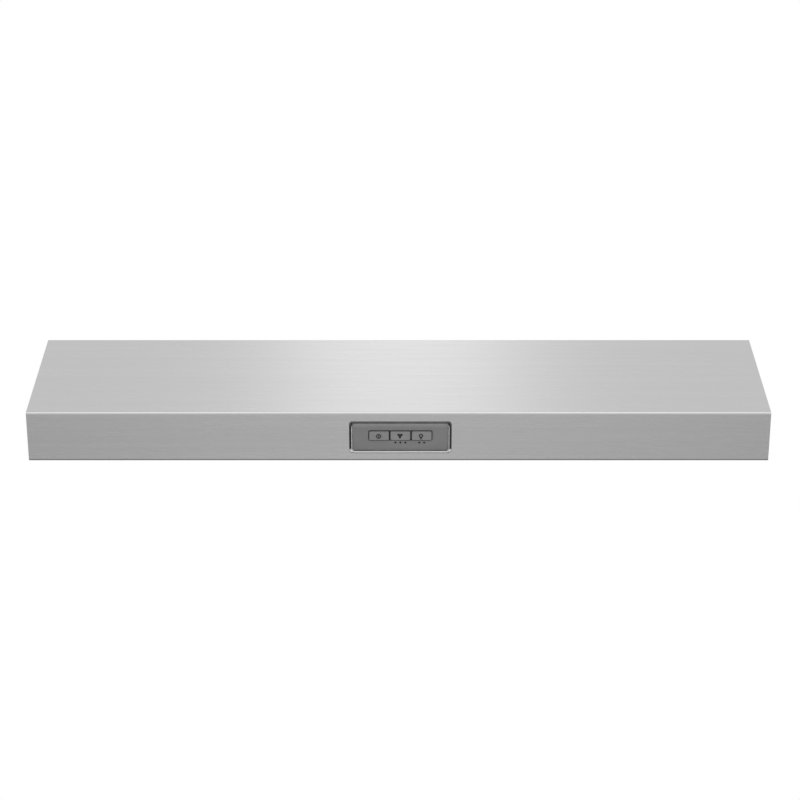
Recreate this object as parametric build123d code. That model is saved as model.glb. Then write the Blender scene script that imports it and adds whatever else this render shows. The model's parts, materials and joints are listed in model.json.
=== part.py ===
"""Under-cabinet range hood, 30 inch class: a folded steel canopy with a sloped visor and a control strip.

Millimetres. X runs across the hood, Y from the front to the wall, Z up. The origin is the centre of the
flat top that screws against the underside of a cabinet, so the whole hood hangs below Z = 0.
"""

import math
import os

from build123d import *

# Canopy sizes
WIDTH = 760.0  # outside width
FLAT_DEPTH = 348.0  # flat top, front to back
SLOPE_RUN = 152.0  # level reach of the sloped visor in front of the flat top
SLOPE_RISE = 78.0  # height gained by the visor
LIP_DROP = 49.0  # height of the control lip
LIP_SETBACK = 21.0  # how far the lip's bottom edge lies behind its top edge
SHEET = 1.0  # sheet metal
BEND = 1.2  # inside radius of the visible bends
SEAT = 0.1  # gap between pieces that are fastened together
LIP_FLANGE = 16.0  # return under the lip
BACK_FLANGE = 12.0  # turned-down rear edge of the top
END_FLANGE = 14.0  # inward flanges of the end panels

# Cabinet fixing and knock-outs
KEYHOLE_INSET = 50.0  # from the ends of the hood
KEYHOLE_Y = 203.0  # spacing of the keyholes front to back
KEYHOLE_RADIUS = 5.0
KEYHOLE_NECK = 5.5  # width of the narrow end
KEYHOLE_REACH = 12.0  # from the round end's centre to the neck's end
SCORE_WIDTH = 1.2  # scored line round a knock-out
SCORE_DEPTH = 0.4
KNOCKOUT_MARGIN = 16.0  # wall plane to the top knock-out

# Underside pan and its two filter openings
PAN_RECESS = 11.0  # pan above the hood's bottom edge
PAN_CLEAR = 7.0  # lip edge to the pan's front skirt
PAN_FOOT_WIDTH = 12.0
OPENING_WIDTH = 340.0
OPENING_LENGTH = 280.0
CENTRE_BAR = 20.0  # between the openings
REAR_LEDGE = 36.0  # behind the openings, where the filters rest
PAN_SCREW_SPACING = 180.0

# Grease filters
FILTER_GAP = 1.5  # filter to the edge of its opening
FILTER_LIFT = 0.3  # filter above the ledge
FILTER_THICKNESS = 8.0
FILTER_LAP = 8.0  # rear edge over the ledge
FRAME_BORDER = 13.0
FRAME_WALL = 1.0
MESH_THICKNESS = 4.0
MESH_COLUMNS = 12
MESH_ROWS = 10
MESH_STRAND = 5.0  # metal between two diamond gaps
LATCH_WIDTH = 38.0
LATCH_PLATE = 1.6
LATCH_REACH = 6.0  # tongue over the front ledge
LATCH_TRAVEL = 8.0
LATCH_LENGTH = 11.0  # plate behind the filter's front edge
TAB_WIDTH = 30.0
TAB_DROP = 7.0
TAB_STRIP = 1.2

# Lamps
LAMP_INSET = 130.0  # from the ends of the hood
LAMP_HOLE_RADIUS = 33.0
LAMP_CAN_HEIGHT = 32.0
LAMP_CAN_WALL = 1.2
LAMP_RIM = 6.0  # flange of the can on the pan, and of the bezel under it
BEZEL_RING_THICKNESS = 2.5
LENS_THICKNESS = 3.0
LENS_SEAT = 3.0  # width of the ledge that holds the lens
LED_BOARD_RADIUS = 24.0
LED_BOARD_THICKNESS = 1.6
LED_CHIP = 4.0
LED_CHIP_HEIGHT = 1.5
LED_RING_RADIUS = 13.0
LED_COUNT = 6

# Control panel, measured in the plane of the lip
CONTROL_X = 1.9  # middle of the cut-out, right of the middle of the lip
CONTROL_Y = -0.6  # and below it
CUT_WIDTH = 104.9
CUT_HEIGHT = 35.6
CUT_RADIUS = 3.5
TRIM_SIDE_GAP = 2.3  # shadow gap at both ends of the cut-out
TRIM_TOP_GAP = 4.1
TRIM_BOTTOM_GAP = 0.15
TRIM_INSET = 0.6  # rim below the face of the lip
TRIM_RIM = 0.5  # width of the rim
TRIM_DEPTH = 2.9  # rim to the face of the panel
TRIM_RADIUS = 3.0
TRIM_BEAD = 0.7  # radius of the rolled edge along the bottom
TRIM_BEAD_INSET = 0.1  # outside of the rim to the rolled edge
WALL_SIDE = 1.1  # how far the sloped walls come in at the ends
WALL_BOTTOM = 0.3
PANEL_EDGE = 1.2  # rounding of the face's edges
PANEL_STEP = 2.5  # face to the step that closes the gap above the panel
PANEL_FLOOR = 2.5
PANEL_DEPTH = 17.0  # lip face to the back of the panel
PANEL_WALL = 2.0
EAR_FOOT = 5.0  # foot of an ear against the back of the lip
EAR_MARGIN = 1.0  # foot to the edge of the cut-out
EAR_HEIGHT = 22.0
EAR_THICKNESS = 2.0
EAR_SINK = 4.0  # lip's back to the front of an ear's arm
BUTTON_RISE = 2.3  # button row above the middle of the panel
BUTTON_PITCH = 21.9
BUTTON_WIDTH = 20.0
BUTTON_HEIGHT = 9.6
BUTTON_EDGE = 0.4  # rounding of the cap's rim
BUTTON_RADIUS = 1.0
BUTTON_GAP = 1.0
BUTTON_PROUD = 1.2  # above the face of the panel
BUTTON_FLANGE = 1.6  # keeps the button behind the face, above and below its hole
BUTTON_FLANGE_SIDE = 0.5
BUTTON_FLANGE_THICKNESS = 1.2
BUTTON_TRAVEL = 1.0
BUTTON_SLACK = 0.3  # flange to the back of the face
STEM_RADIUS = 2.0
STEM_LENGTH = 1.2
LED_PIPE_RADIUS = 1.0
LED_PIPE_PITCH = 5.05
LED_PIPE_DROP = 8.0  # button centre to the row of lights
FAN_LIGHTS = 3
LAMP_LIGHTS = 2
BOARD_THICKNESS = 1.6
BOARD_MARGIN = 0.5  # board to the walls round it
SWITCH_SIZE = 6.0
SWITCH_PLUNGER_RADIUS = 1.7
SWITCH_PLUNGER = 0.7
BOSS_RADIUS = 2.6
BOSS_INSET = 6.5  # boss centre to the panel's outer end
COVER_DEPTH = 12.0
COVER_WALL = 1.5
COVER_LEAD_RADIUS = 3.0

# Blower
BLOWER_X = -55.0
BLOWER_Y = 0.0
RAIL_HEIGHT = 11.0
RAIL_WEB = 22.0
RAIL_FOOT = 9.0
SCROLL_HEIGHT = 80.0  # inside
SCROLL_START = 104.0  # radius of the first quarter of the spiral
SCROLL_STEP = 14.0  # growth per quarter turn
TONGUE_ANGLE = 60.0
FLARE_START = 80.0  # where the outlet starts to widen, behind the blower's centre
EAR = 26.0  # scroll plate beyond the spiral
EAR_INSET = 11.0
WHEEL_RADIUS = 88.0
BLADE_ROOT = 72.0
BLADE_SWEEP = 7.0  # degrees from root to tip
BLADE_BULGE = 3.0
BLADE_TURN = 0.75  # thickness, as degrees of turn
BLADES = 36
WHEEL_HEIGHT = 56.0
WHEEL_FLOOR_GAP = 3.0  # wheel to the inlet plate
WHEEL_SKIN = 1.0
WHEEL_RING = 6.0  # ring round the blade tips at the inlet
CUP_RADIUS = 60.0
CUP_DEPTH = 44.0  # dish of the wheel round the motor
HUB_RADIUS = 11.0
HUB_HEIGHT = 12.0
SHAFT_RADIUS = 4.0
SHAFT_GAP = 0.05  # running fit in the motor
SHAFT_LENGTH = 50.0
MOTOR_RADIUS = 46.0
MOTOR_LENGTH = 55.0
MOTOR_FLANGE = 9.0
MOTOR_FLANGE_THICKNESS = 3.0
MOTOR_CAP = 9.0
MOTOR_CAP_RADIUS = 40.0
MOTOR_SCREWS = 3
BELL_RADIUS = 10.0  # round of the inlet's mouth
BELL_GAP = 4.0  # mouth to the blades

# Duct collar and damper, for 3 1/4 x 10 inch rectangular duct
DUCT_WIDTH = 251.0
DUCT_HEIGHT = 79.0
COLLAR_LENGTH = 45.0
COLLAR_TAB = 20.0
FLAP_GAP = 1.2
FLAP_THICKNESS = 1.2
FLAP_SETBACK = 9.0  # back panel to the flap
FLAP_STOP = 3.0
PIN_RADIUS = 1.5
PIN_GAP = 0.1
PIN_INSET = 5.0  # collar's inside top to the pin
PIN_HEAD = 1.0
CURL_WALL = 1.0

# Electrics
WIRING_INSET = 95.0  # from the left end to the middle of the wiring box
WIRING_WIDTH = 92.0
WIRING_DEPTH = 46.0
WIRING_HEIGHT = 58.0
WIRING_Z = -64.0  # centre of the box
CONDUIT_RADIUS = 11.1  # half inch trade-size knock-out
CONDUIT_WINDOW = 40.0
TERMINAL_WIDTH = 54.0
TERMINAL_DEPTH = 16.0
TERMINAL_HEIGHT = 18.0
TERMINAL_WAYS = 3
TERMINAL_HOLE = 2.4
POWER_INSET = 130.0  # from the right end to the middle of the power tray
POWER_Y = 20.0
POWER_WIDTH = 130.0
POWER_DEPTH = 78.0
POWER_HEIGHT = 34.0
POWER_WALL = 2.0
CAPACITOR_RADIUS = 17.0
CAPACITOR_LENGTH = 58.0
CAPACITOR_GAP = 24.0  # power housing to the capacitor
CAPACITOR_STRAP = 8.0
LEAD_RADIUS = 2.5
LEAD_BEND = 14.0
LEAD_PITCH = 20.0  # between leads that run side by side
CLIP_STRIP = 0.8
CLIP_FOOT = 4.0
CLIP_WIDTH = 8.0

# Fasteners
SCREW_RADIUS = 1.9
SCREW_HEAD_RADIUS = 3.6
SCREW_HEAD = 0.9
SCREW_TAIL = 2.5  # thread beyond the last sheet
SCREW_GAP = 0.1
BOARD_SCREW_RADIUS = 1.2

# Levels and planes that follow from the sizes
OVER = 5.0  # how far a cutter runs past what it cuts
Y_BACK = FLAT_DEPTH / 2
Y_KNEE = -FLAT_DEPTH / 2
Y_NOSE = Y_KNEE - SLOPE_RUN
Y_LIP = Y_NOSE + LIP_SETBACK
Z_NOSE = -SLOPE_RISE
Z_BOTTOM = Z_NOSE - LIP_DROP
SKIN = SHEET + SEAT  # one sheet and its seat
Z_PAN = Z_BOTTOM + PAN_RECESS
Z_PAN_TOP = Z_PAN + SHEET
Z_FOOT = Z_BOTTOM + 2 * SKIN
PAN_HALF = WIDTH / 2 - 2 * SKIN
PAN_FRONT = Y_LIP + PAN_CLEAR
BACK_FACE = Y_BACK - SKIN  # rear face of the back panel
PAN_BACK = BACK_FACE - SKIN
OPENING_BACK = PAN_BACK - REAR_LEDGE
OPENING_FRONT = OPENING_BACK - OPENING_LENGTH
OPENING_X = (CENTRE_BAR + OPENING_WIDTH) / 2
LAMP_X = WIDTH / 2 - LAMP_INSET
LAMP_Y = (PAN_FRONT + OPENING_FRONT) / 2
WIRING_X = WIRING_INSET - WIDTH / 2
POWER_X = WIDTH / 2 - POWER_INSET
Z_SCROLL_PLATE = -SHEET - RAIL_HEIGHT  # top of the scroll's plate
Z_SCROLL = Z_SCROLL_PLATE - SHEET - SCROLL_HEIGHT  # top of the inlet plate
Z_DUCT = Z_SCROLL + SCROLL_HEIGHT / 2
LIP_PLANE = Plane(
    origin=(0, (Y_NOSE + Y_LIP) / 2, (Z_NOSE + Z_BOTTOM) / 2),
    x_dir=(1, 0, 0),
    z_dir=(0, -LIP_DROP, -LIP_SETBACK),
)
Z_FACE = -TRIM_INSET - TRIM_DEPTH  # face of the control panel, in the lip's plane
Z_FACE_BACK = Z_FACE - SEAT - PANEL_FLOOR
Z_BUTTON_BACK = Z_FACE_BACK - BUTTON_SLACK - BUTTON_FLANGE_THICKNESS
Z_SWITCH = Z_BUTTON_BACK - STEM_LENGTH - BUTTON_TRAVEL - SWITCH_PLUNGER / 2
Z_BOARD = -PANEL_DEPTH + BOARD_THICKNESS + SEAT
BUTTON_NAMES = ["power_button", "fan_button", "light_button"]
SIDES = {"left": -1, "right": 1}


def block(x0, x1, y0, y1, z0, z1):
    """A box between two corners."""
    return Pos((x0 + x1) / 2, (y0 + y1) / 2, (z0 + z1) / 2) * Box(x1 - x0, y1 - y0, z1 - z0)


def rod(radius, x, y, z0, z1):
    """An upright round bar between two levels."""
    return Pos(x, y, (z0 + z1) / 2) * Cylinder(radius, z1 - z0)


def shifted(points, distance, closed=False):
    """Corners of a line after every edge moves to its right by the distance, mitred at the corners."""
    count = len(points)
    edges = count if closed else count - 1
    lines = []
    for i in range(edges):
        (ax, ay), (bx, by) = points[i], points[(i + 1) % count]
        length = math.hypot(bx - ax, by - ay)
        ux, uy = (bx - ax) / length, (by - ay) / length
        lines.append((ax + distance * uy, ay - distance * ux, ux, uy, length))

    def crossing(first, second):
        ax, ay, ux, uy, _ = first
        bx, by, vx, vy, _ = second
        reach = ((bx - ax) * vy - (by - ay) * vx) / (ux * vy - uy * vx)
        return (ax + reach * ux, ay + reach * uy)

    if closed:
        return [crossing(lines[i - 1], lines[i]) for i in range(edges)]
    last = lines[-1]
    inner = [crossing(lines[i - 1], lines[i]) for i in range(1, edges)]
    return [lines[0][:2], *inner, (last[0] + last[4] * last[2], last[1] + last[4] * last[3])]


def folded_sheet(outside):
    """Section of a sheet folded one way round: the outside line, one sheet to its right, with round bends."""
    inside = shifted(outside, SHEET)
    edge = FilletPolyline(*outside, radius=BEND + SHEET) + FilletPolyline(*inside, radius=BEND)
    edge += Line(outside[0], inside[0]) + Line(outside[-1], inside[-1])
    return make_face(edge.edges())


def channel(line):
    """Section of a sheet folded with sharp bends: the line, and one sheet to its right."""
    return make_face(Polyline(*line, *reversed(shifted(line, SHEET)), close=True).edges())


def screw(grip, radius=SCREW_RADIUS, head_radius=SCREW_HEAD_RADIUS):
    """A pan-head screw along +Z: its head lies below 0, and its shank runs through the grip."""
    head = Pos(0, 0, -SCREW_HEAD / 2) * Cylinder(head_radius, SCREW_HEAD)
    shank = Pos(0, 0, (grip + SCREW_TAIL) / 2) * Cylinder(radius, grip + SCREW_TAIL)
    return head + shank


def group(solids):
    """Separate solids kept in one node."""
    return Compound(children=list(solids))


# Canopy, end panels and back

OUTLINE = [(Y_LIP, Z_BOTTOM), (Y_NOSE, Z_NOSE), (Y_KNEE, 0), (Y_BACK, 0), (Y_BACK, Z_BOTTOM)]


def keyhole_spots():
    return GridLocations(WIDTH - 2 * KEYHOLE_INSET, KEYHOLE_Y, 2, 2)


def score(sketch, inner):
    """A scored line in the top sheet, between an outline and the same outline one line's width inside."""
    return extrude(sketch - inner, amount=-SCORE_DEPTH)


def canopy_shell():
    """Lip return, control lip, sloped visor, flat top and rear flange, folded from one sheet."""
    line = [(Y_LIP + LIP_FLANGE, Z_BOTTOM), *OUTLINE[:4], (Y_BACK, -BACK_FLANGE)]
    shell = extrude(Plane.YZ * folded_sheet(line), amount=WIDTH / 2, both=True)
    cut = RectangleRounded(CUT_WIDTH, CUT_HEIGHT, CUT_RADIUS)
    shell -= extrude(LIP_PLANE * Pos(CONTROL_X, CONTROL_Y) * cut, amount=OVER, both=True)
    neck = Pos(0, -KEYHOLE_REACH / 2) * Rectangle(KEYHOLE_NECK, KEYHOLE_REACH)
    keyhole = Circle(KEYHOLE_RADIUS) + neck + Pos(0, -KEYHOLE_REACH) * Circle(KEYHOLE_NECK / 2)
    shell -= [spot * extrude(keyhole, amount=OVER, both=True) for spot in keyhole_spots()]
    y = Y_BACK - KNOCKOUT_MARGIN - DUCT_HEIGHT / 2
    inner = Rectangle(DUCT_WIDTH - 2 * SCORE_WIDTH, DUCT_HEIGHT - 2 * SCORE_WIDTH)
    shell -= Pos(0, y, 0) * score(Rectangle(DUCT_WIDTH, DUCT_HEIGHT), inner)
    ring = score(Circle(CONDUIT_RADIUS), Circle(CONDUIT_RADIUS - SCORE_WIDTH))
    return shell - Pos(WIRING_X, BACK_FACE - WIRING_DEPTH / 2, 0) * ring


def pan_screw_spots():
    """Screws through the end panels' bottom flanges into the feet of the pan."""
    x = PAN_HALF - PAN_FOOT_WIDTH / 2
    y = (PAN_FRONT + PAN_BACK) / 2
    return [Pos(0, y, 0) * spot for spot in GridLocations(2 * x, PAN_SCREW_SPACING, 2, 3)]


def end_panel(side):
    """A flat end with flanges turned inwards along the lip, visor, top and bottom edges."""
    outer = shifted(OUTLINE, SKIN, closed=True)
    face = fillet(Polygon(*outer, align=None).vertices(), BEND + SHEET)
    inner = shifted(OUTLINE, SKIN + SHEET, closed=True)
    pocket = fillet(Polygon(*inner, align=None).vertices(), BEND)
    open_back = Pos(inner[3][0], (inner[3][1] + inner[4][1]) / 2) * Rectangle(
        2 * (SHEET + SEAT) + 2 * BEND, inner[3][1] - inner[4][1]
    )
    inwards = (-1, 0, 0)
    panel = extrude(Plane.YZ.offset(WIDTH / 2) * face, amount=END_FLANGE, dir=inwards)
    hollow = Plane.YZ.offset(WIDTH / 2 - SHEET) * (pocket + open_back)
    panel -= extrude(hollow, amount=END_FLANGE, dir=inwards)
    for spot in pan_screw_spots():
        panel -= spot * rod(SCREW_RADIUS + SCREW_GAP, 0, 0, Z_BOTTOM - OVER, Z_FOOT + OVER)
    return panel if side > 0 else mirror(panel, about=Plane.YZ)


def collar_screw_spots():
    """Screws in the tabs at both ends of the duct collar."""
    spots = GridLocations(DUCT_WIDTH + COLLAR_TAB, DUCT_HEIGHT / 2, 2, 2)
    return [Plane((0, BACK_FACE + SHEET, Z_DUCT), (1, 0, 0), (0, -1, 0)) * spot for spot in spots]


def wiring_screw_spots():
    """Screws that hold the wiring box to the back panel, from behind."""
    plane = Plane((WIRING_X, BACK_FACE, WIRING_Z), (1, 0, 0), (0, -1, 0))
    return [plane * spot for spot in GridLocations(CONDUIT_WINDOW + EAR, 1, 2, 1)]


def back_panel():
    """Rear wall between the ends, with side flanges, the duct outlet and a window for the wiring box."""
    half = WIDTH / 2 - SKIN
    top = -2 * SKIN
    panel = block(-half, half, BACK_FACE - END_FLANGE, BACK_FACE, Z_FOOT, top)
    panel -= block(
        -half + SHEET,
        half - SHEET,
        BACK_FACE - END_FLANGE - OVER,
        BACK_FACE - SHEET,
        Z_FOOT - OVER,
        top + OVER,
    )
    opening = Rectangle(DUCT_WIDTH - 2 * SHEET, DUCT_HEIGHT - 2 * SHEET)
    window = Pos(WIRING_X, WIRING_Z - Z_DUCT) * Rectangle(CONDUIT_WINDOW, CONDUIT_WINDOW)
    wall = Plane((0, BACK_FACE, Z_DUCT), (1, 0, 0), (0, -1, 0))
    panel -= extrude(wall * (opening + window), amount=OVER, both=True)
    for spot in [*collar_screw_spots(), *wiring_screw_spots()]:
        panel -= spot * Cylinder(SCREW_RADIUS + SCREW_GAP, 4 * OVER)
    return panel


def under_pan():
    """Recessed liner of the underside: a shallow inverted tray with two filter openings and lamp holes."""
    pan = block(-PAN_HALF, PAN_HALF, PAN_FRONT, PAN_BACK, Z_FOOT, Z_PAN_TOP)
    pan -= block(
        -PAN_HALF + SHEET, PAN_HALF - SHEET, PAN_FRONT + SHEET, PAN_BACK - SHEET, Z_FOOT - OVER, Z_PAN
    )
    for side in SIDES.values():
        edge = side * (PAN_HALF - PAN_FOOT_WIDTH)
        x0, x1 = sorted((edge, side * PAN_HALF))
        pan += block(x0, x1, PAN_FRONT, PAN_BACK, Z_FOOT, Z_FOOT + SHEET)
        x = side * OPENING_X
        pan -= block(
            x - OPENING_WIDTH / 2,
            x + OPENING_WIDTH / 2,
            OPENING_FRONT,
            OPENING_BACK,
            Z_PAN - OVER,
            Z_PAN_TOP + OVER,
        )
        pan -= rod(LAMP_HOLE_RADIUS, side * LAMP_X, LAMP_Y, Z_PAN - OVER, Z_PAN_TOP + OVER)
    for spot in pan_screw_spots():
        pan -= spot * rod(SCREW_RADIUS + SCREW_GAP, 0, 0, Z_FOOT - OVER, Z_FOOT + 2 * SHEET)
    return pan


def pan_screws():
    level = Z_BOTTOM + SKIN  # underside of the end panels' bottom flanges
    return group(spot * Pos(0, 0, level) * screw(SHEET + SKIN) for spot in pan_screw_spots())


# Grease filters, each hung on the rear ledge and snapped over the front one

Z_FILTER = Z_PAN_TOP + FILTER_LIFT
FILTER_FRONT = OPENING_FRONT + FILTER_GAP
FILTER_BACK = OPENING_BACK + FILTER_LAP
FILTER_Y = (FILTER_FRONT + FILTER_BACK) / 2
FILTER_WIDTH = OPENING_WIDTH - 2 * FILTER_GAP
FILTER_LENGTH = FILTER_BACK - FILTER_FRONT
WINDOW_WIDTH = FILTER_WIDTH - 2 * FRAME_BORDER
WINDOW_LENGTH = FILTER_LENGTH - 2 * FRAME_BORDER
MESH_Z = Z_FILTER + FILTER_THICKNESS / 2


def filter_frame(x):
    """Rectangular frame of aluminium channel, open to the inside so that the mesh sits in its groove."""
    level = Pos(x, FILTER_Y, MESH_Z)
    frame = Box(FILTER_WIDTH, FILTER_LENGTH, FILTER_THICKNESS)
    frame = fillet(frame.edges().filter_by(Axis.Z), FRAME_BORDER / 4)
    frame -= Box(WINDOW_WIDTH, WINDOW_LENGTH, FILTER_THICKNESS + OVER)
    groove = MESH_THICKNESS + 2 * SEAT
    frame -= Box(FILTER_WIDTH - 2 * FRAME_WALL, FILTER_LENGTH - 2 * FRAME_WALL, groove)
    half = LATCH_WIDTH / 2 + SEAT
    notch = block(-half, half, FILTER_FRONT - OVER, FILTER_FRONT + FRAME_BORDER + OVER, 0, LATCH_PLATE + SEAT)
    return level * frame - Pos(x, 0, Z_FILTER) * notch


def filter_mesh(x):
    """Expanded-metal pad: a plate pierced by staggered diamonds."""
    edge = 2 * (FRAME_WALL + SEAT)
    pitch_x = WINDOW_WIDTH / MESH_COLUMNS
    pitch_y = WINDOW_LENGTH / MESH_ROWS
    half_x = (pitch_x - MESH_STRAND) / 2
    half_y = (pitch_y - MESH_STRAND) / 2
    diamond = Polyline((half_x, 0), (0, half_y), (-half_x, 0), (0, -half_y), close=True).wire()
    spots = list(GridLocations(pitch_x, pitch_y, MESH_COLUMNS, MESH_ROWS))
    spots += list(GridLocations(pitch_x, pitch_y, MESH_COLUMNS - 1, MESH_ROWS - 1))
    plate = Rectangle(FILTER_WIDTH - edge, FILTER_LENGTH - edge).face()
    plate = Face(plate.outer_wire(), [diamond.moved(spot) for spot in spots])
    return Pos(x, FILTER_Y, MESH_Z - MESH_THICKNESS / 2) * extrude(plate, amount=MESH_THICKNESS)


def filter_latch(x):
    """Sliding latch in the front bar of a filter: a tongue over the front ledge and a finger tab below."""
    half = LATCH_WIDTH / 2
    rear = FILTER_FRONT + LATCH_LENGTH
    tongue = OPENING_FRONT - LATCH_REACH
    plate = block(-half, half, tongue, rear, Z_FILTER, Z_FILTER + LATCH_PLATE)
    half = TAB_WIDTH / 2
    tab = block(-half, half, rear - TAB_STRIP, rear, Z_FILTER - TAB_DROP, Z_FILTER + LATCH_PLATE)
    corners = tab.edges().filter_by(Axis.Y).group_by(Axis.Z)[0]
    return Pos(x, 0, 0) * (plate + fillet(corners, TAB_DROP / 2))


# Lamps

CAN_RADIUS = LAMP_HOLE_RADIUS - SEAT
RIM_RADIUS = LAMP_HOLE_RADIUS + LAMP_RIM
LENS_RADIUS = CAN_RADIUS - LAMP_CAN_WALL - SEAT
Z_LENS = Z_PAN - BEZEL_RING_THICKNESS + SHEET


def lamp_can(x):
    """Round can over a lamp hole, closed on top, with a flange that rests on the pan."""
    base = Z_PAN_TOP + SEAT
    top = base + LAMP_CAN_HEIGHT
    can = rod(CAN_RADIUS, x, LAMP_Y, base, top)
    can = fillet(can.edges().group_by(Axis.Z)[-1], LAMP_CAN_WALL * 2)
    can += rod(RIM_RADIUS, x, LAMP_Y, base, base + SHEET)
    can -= rod(CAN_RADIUS - LAMP_CAN_WALL, x, LAMP_Y, base - OVER, top - LAMP_CAN_WALL)
    return can - rod(LEAD_RADIUS + SEAT, x, LAMP_Y, top - OVER, top + OVER)


def lamp_bezel(x):
    """Trim ring under a lamp hole, with a sleeve up into the can and a ledge for the lens."""
    low = Z_PAN - SEAT - BEZEL_RING_THICKNESS
    ring = rod(RIM_RADIUS, x, LAMP_Y, low, Z_PAN - SEAT)
    ring = fillet(ring.edges().group_by(Axis.Z)[0], BEZEL_RING_THICKNESS / 2)
    sleeve_top = Z_LENS + LENS_THICKNESS + LENS_SEAT
    ring += rod(CAN_RADIUS - LAMP_CAN_WALL - SEAT, x, LAMP_Y, low + SHEET, sleeve_top)
    ring -= rod(LENS_RADIUS - LAMP_CAN_WALL, x, LAMP_Y, Z_LENS - SEAT, sleeve_top + OVER)
    return ring - rod(LENS_RADIUS - LAMP_CAN_WALL - LENS_SEAT, x, LAMP_Y, low - OVER, Z_LENS)


def lamp_lens(x):
    """Glass disc on the bezel's ledge, slightly domed below."""
    lens = rod(LENS_RADIUS - LAMP_CAN_WALL - SEAT, x, LAMP_Y, Z_LENS, Z_LENS + LENS_THICKNESS)
    return chamfer(lens.edges().group_by(Axis.Z)[-1], SHEET / 2)


def lamp_board(x):
    """Round board with a ring of light chips, under the top of the can."""
    top = Z_PAN_TOP + SEAT + LAMP_CAN_HEIGHT - LAMP_CAN_WALL - SEAT
    low = top - LED_BOARD_THICKNESS
    board = rod(LED_BOARD_RADIUS, x, LAMP_Y, low, top)
    chip = Box(LED_CHIP, LED_CHIP, LED_CHIP_HEIGHT)
    for spot in PolarLocations(LED_RING_RADIUS, LED_COUNT):
        board += Pos(x, LAMP_Y, low - LED_CHIP_HEIGHT / 2) * spot * chip
    return board


# Control panel, built in the plane of the lip

PANEL_WIDTH = CUT_WIDTH - 2 * TRIM_SIDE_GAP
PANEL_HEIGHT = CUT_HEIGHT - TRIM_TOP_GAP - TRIM_BOTTOM_GAP
PANEL_SHIFT = (TRIM_BOTTOM_GAP - TRIM_TOP_GAP) / 2  # panel's middle above the middle of the cut-out
PANEL_PLANE = Plane(LIP_PLANE * Pos(CONTROL_X, CONTROL_Y + PANEL_SHIFT, 0))
OUTWARDS = Axis(LIP_PLANE.origin, LIP_PLANE.z_dir)


def on_lip(sketch, level, depth):
    """A sketch in the plane of the lip, extruded inwards from a level below the lip's face."""
    return extrude(PANEL_PLANE.offset(level) * sketch, amount=-depth)


def control_trim():
    """Steel frame in the lip's cut-out, open at the top: a rim, rolled along the bottom, and sloped walls."""
    trim = on_lip(RectangleRounded(PANEL_WIDTH, PANEL_HEIGHT, TRIM_RADIUS), -TRIM_INSET, TRIM_DEPTH)
    wide, tall = PANEL_WIDTH - 2 * TRIM_RIM, PANEL_HEIGHT - TRIM_RIM + 2 * TRIM_RADIUS
    mouth = Pos(0, TRIM_RIM / 2 + TRIM_RADIUS) * RectangleRounded(wide, tall, TRIM_RADIUS)
    low = RectangleRounded(wide - 2 * WALL_SIDE, tall - WALL_BOTTOM, TRIM_RADIUS)
    low = Pos(0, (TRIM_RIM + WALL_BOTTOM) / 2 + TRIM_RADIUS) * low
    front, back = PANEL_PLANE.offset(-TRIM_INSET), PANEL_PLANE.offset(Z_FACE)
    trim -= loft([front * mouth, back * low])
    inset = TRIM_BEAD + TRIM_BEAD_INSET
    end, foot = PANEL_WIDTH / 2 - inset, inset - PANEL_HEIGHT / 2
    rise = foot + TRIM_RADIUS
    corners = [(-end, rise), (-end, foot), (end, foot), (end, rise)]
    path = FilletPolyline(*corners, radius=TRIM_RADIUS - inset)
    bead = sweep(Plane(origin=path @ 0, z_dir=path % 0) * Circle(TRIM_BEAD), path=path)
    return trim + front * bead


def button_centres():
    return dict(zip(BUTTON_NAMES, (-BUTTON_PITCH, 0, BUTTON_PITCH)))


def light_spots():
    """Rows of indicator lights under the fan and lamp buttons."""
    rows = {"fan_button": FAN_LIGHTS, "light_button": LAMP_LIGHTS}
    centres = button_centres()
    for name, count in rows.items():
        for i in range(count):
            yield Pos(centres[name] + (i - (count - 1) / 2) * LED_PIPE_PITCH, BUTTON_RISE - LED_PIPE_DROP)


def boss_spots():
    x = PANEL_WIDTH - 2 * BOSS_INSET
    return list(GridLocations(x, PANEL_HEIGHT - 2 * BOSS_INSET, 2, 2))


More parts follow.
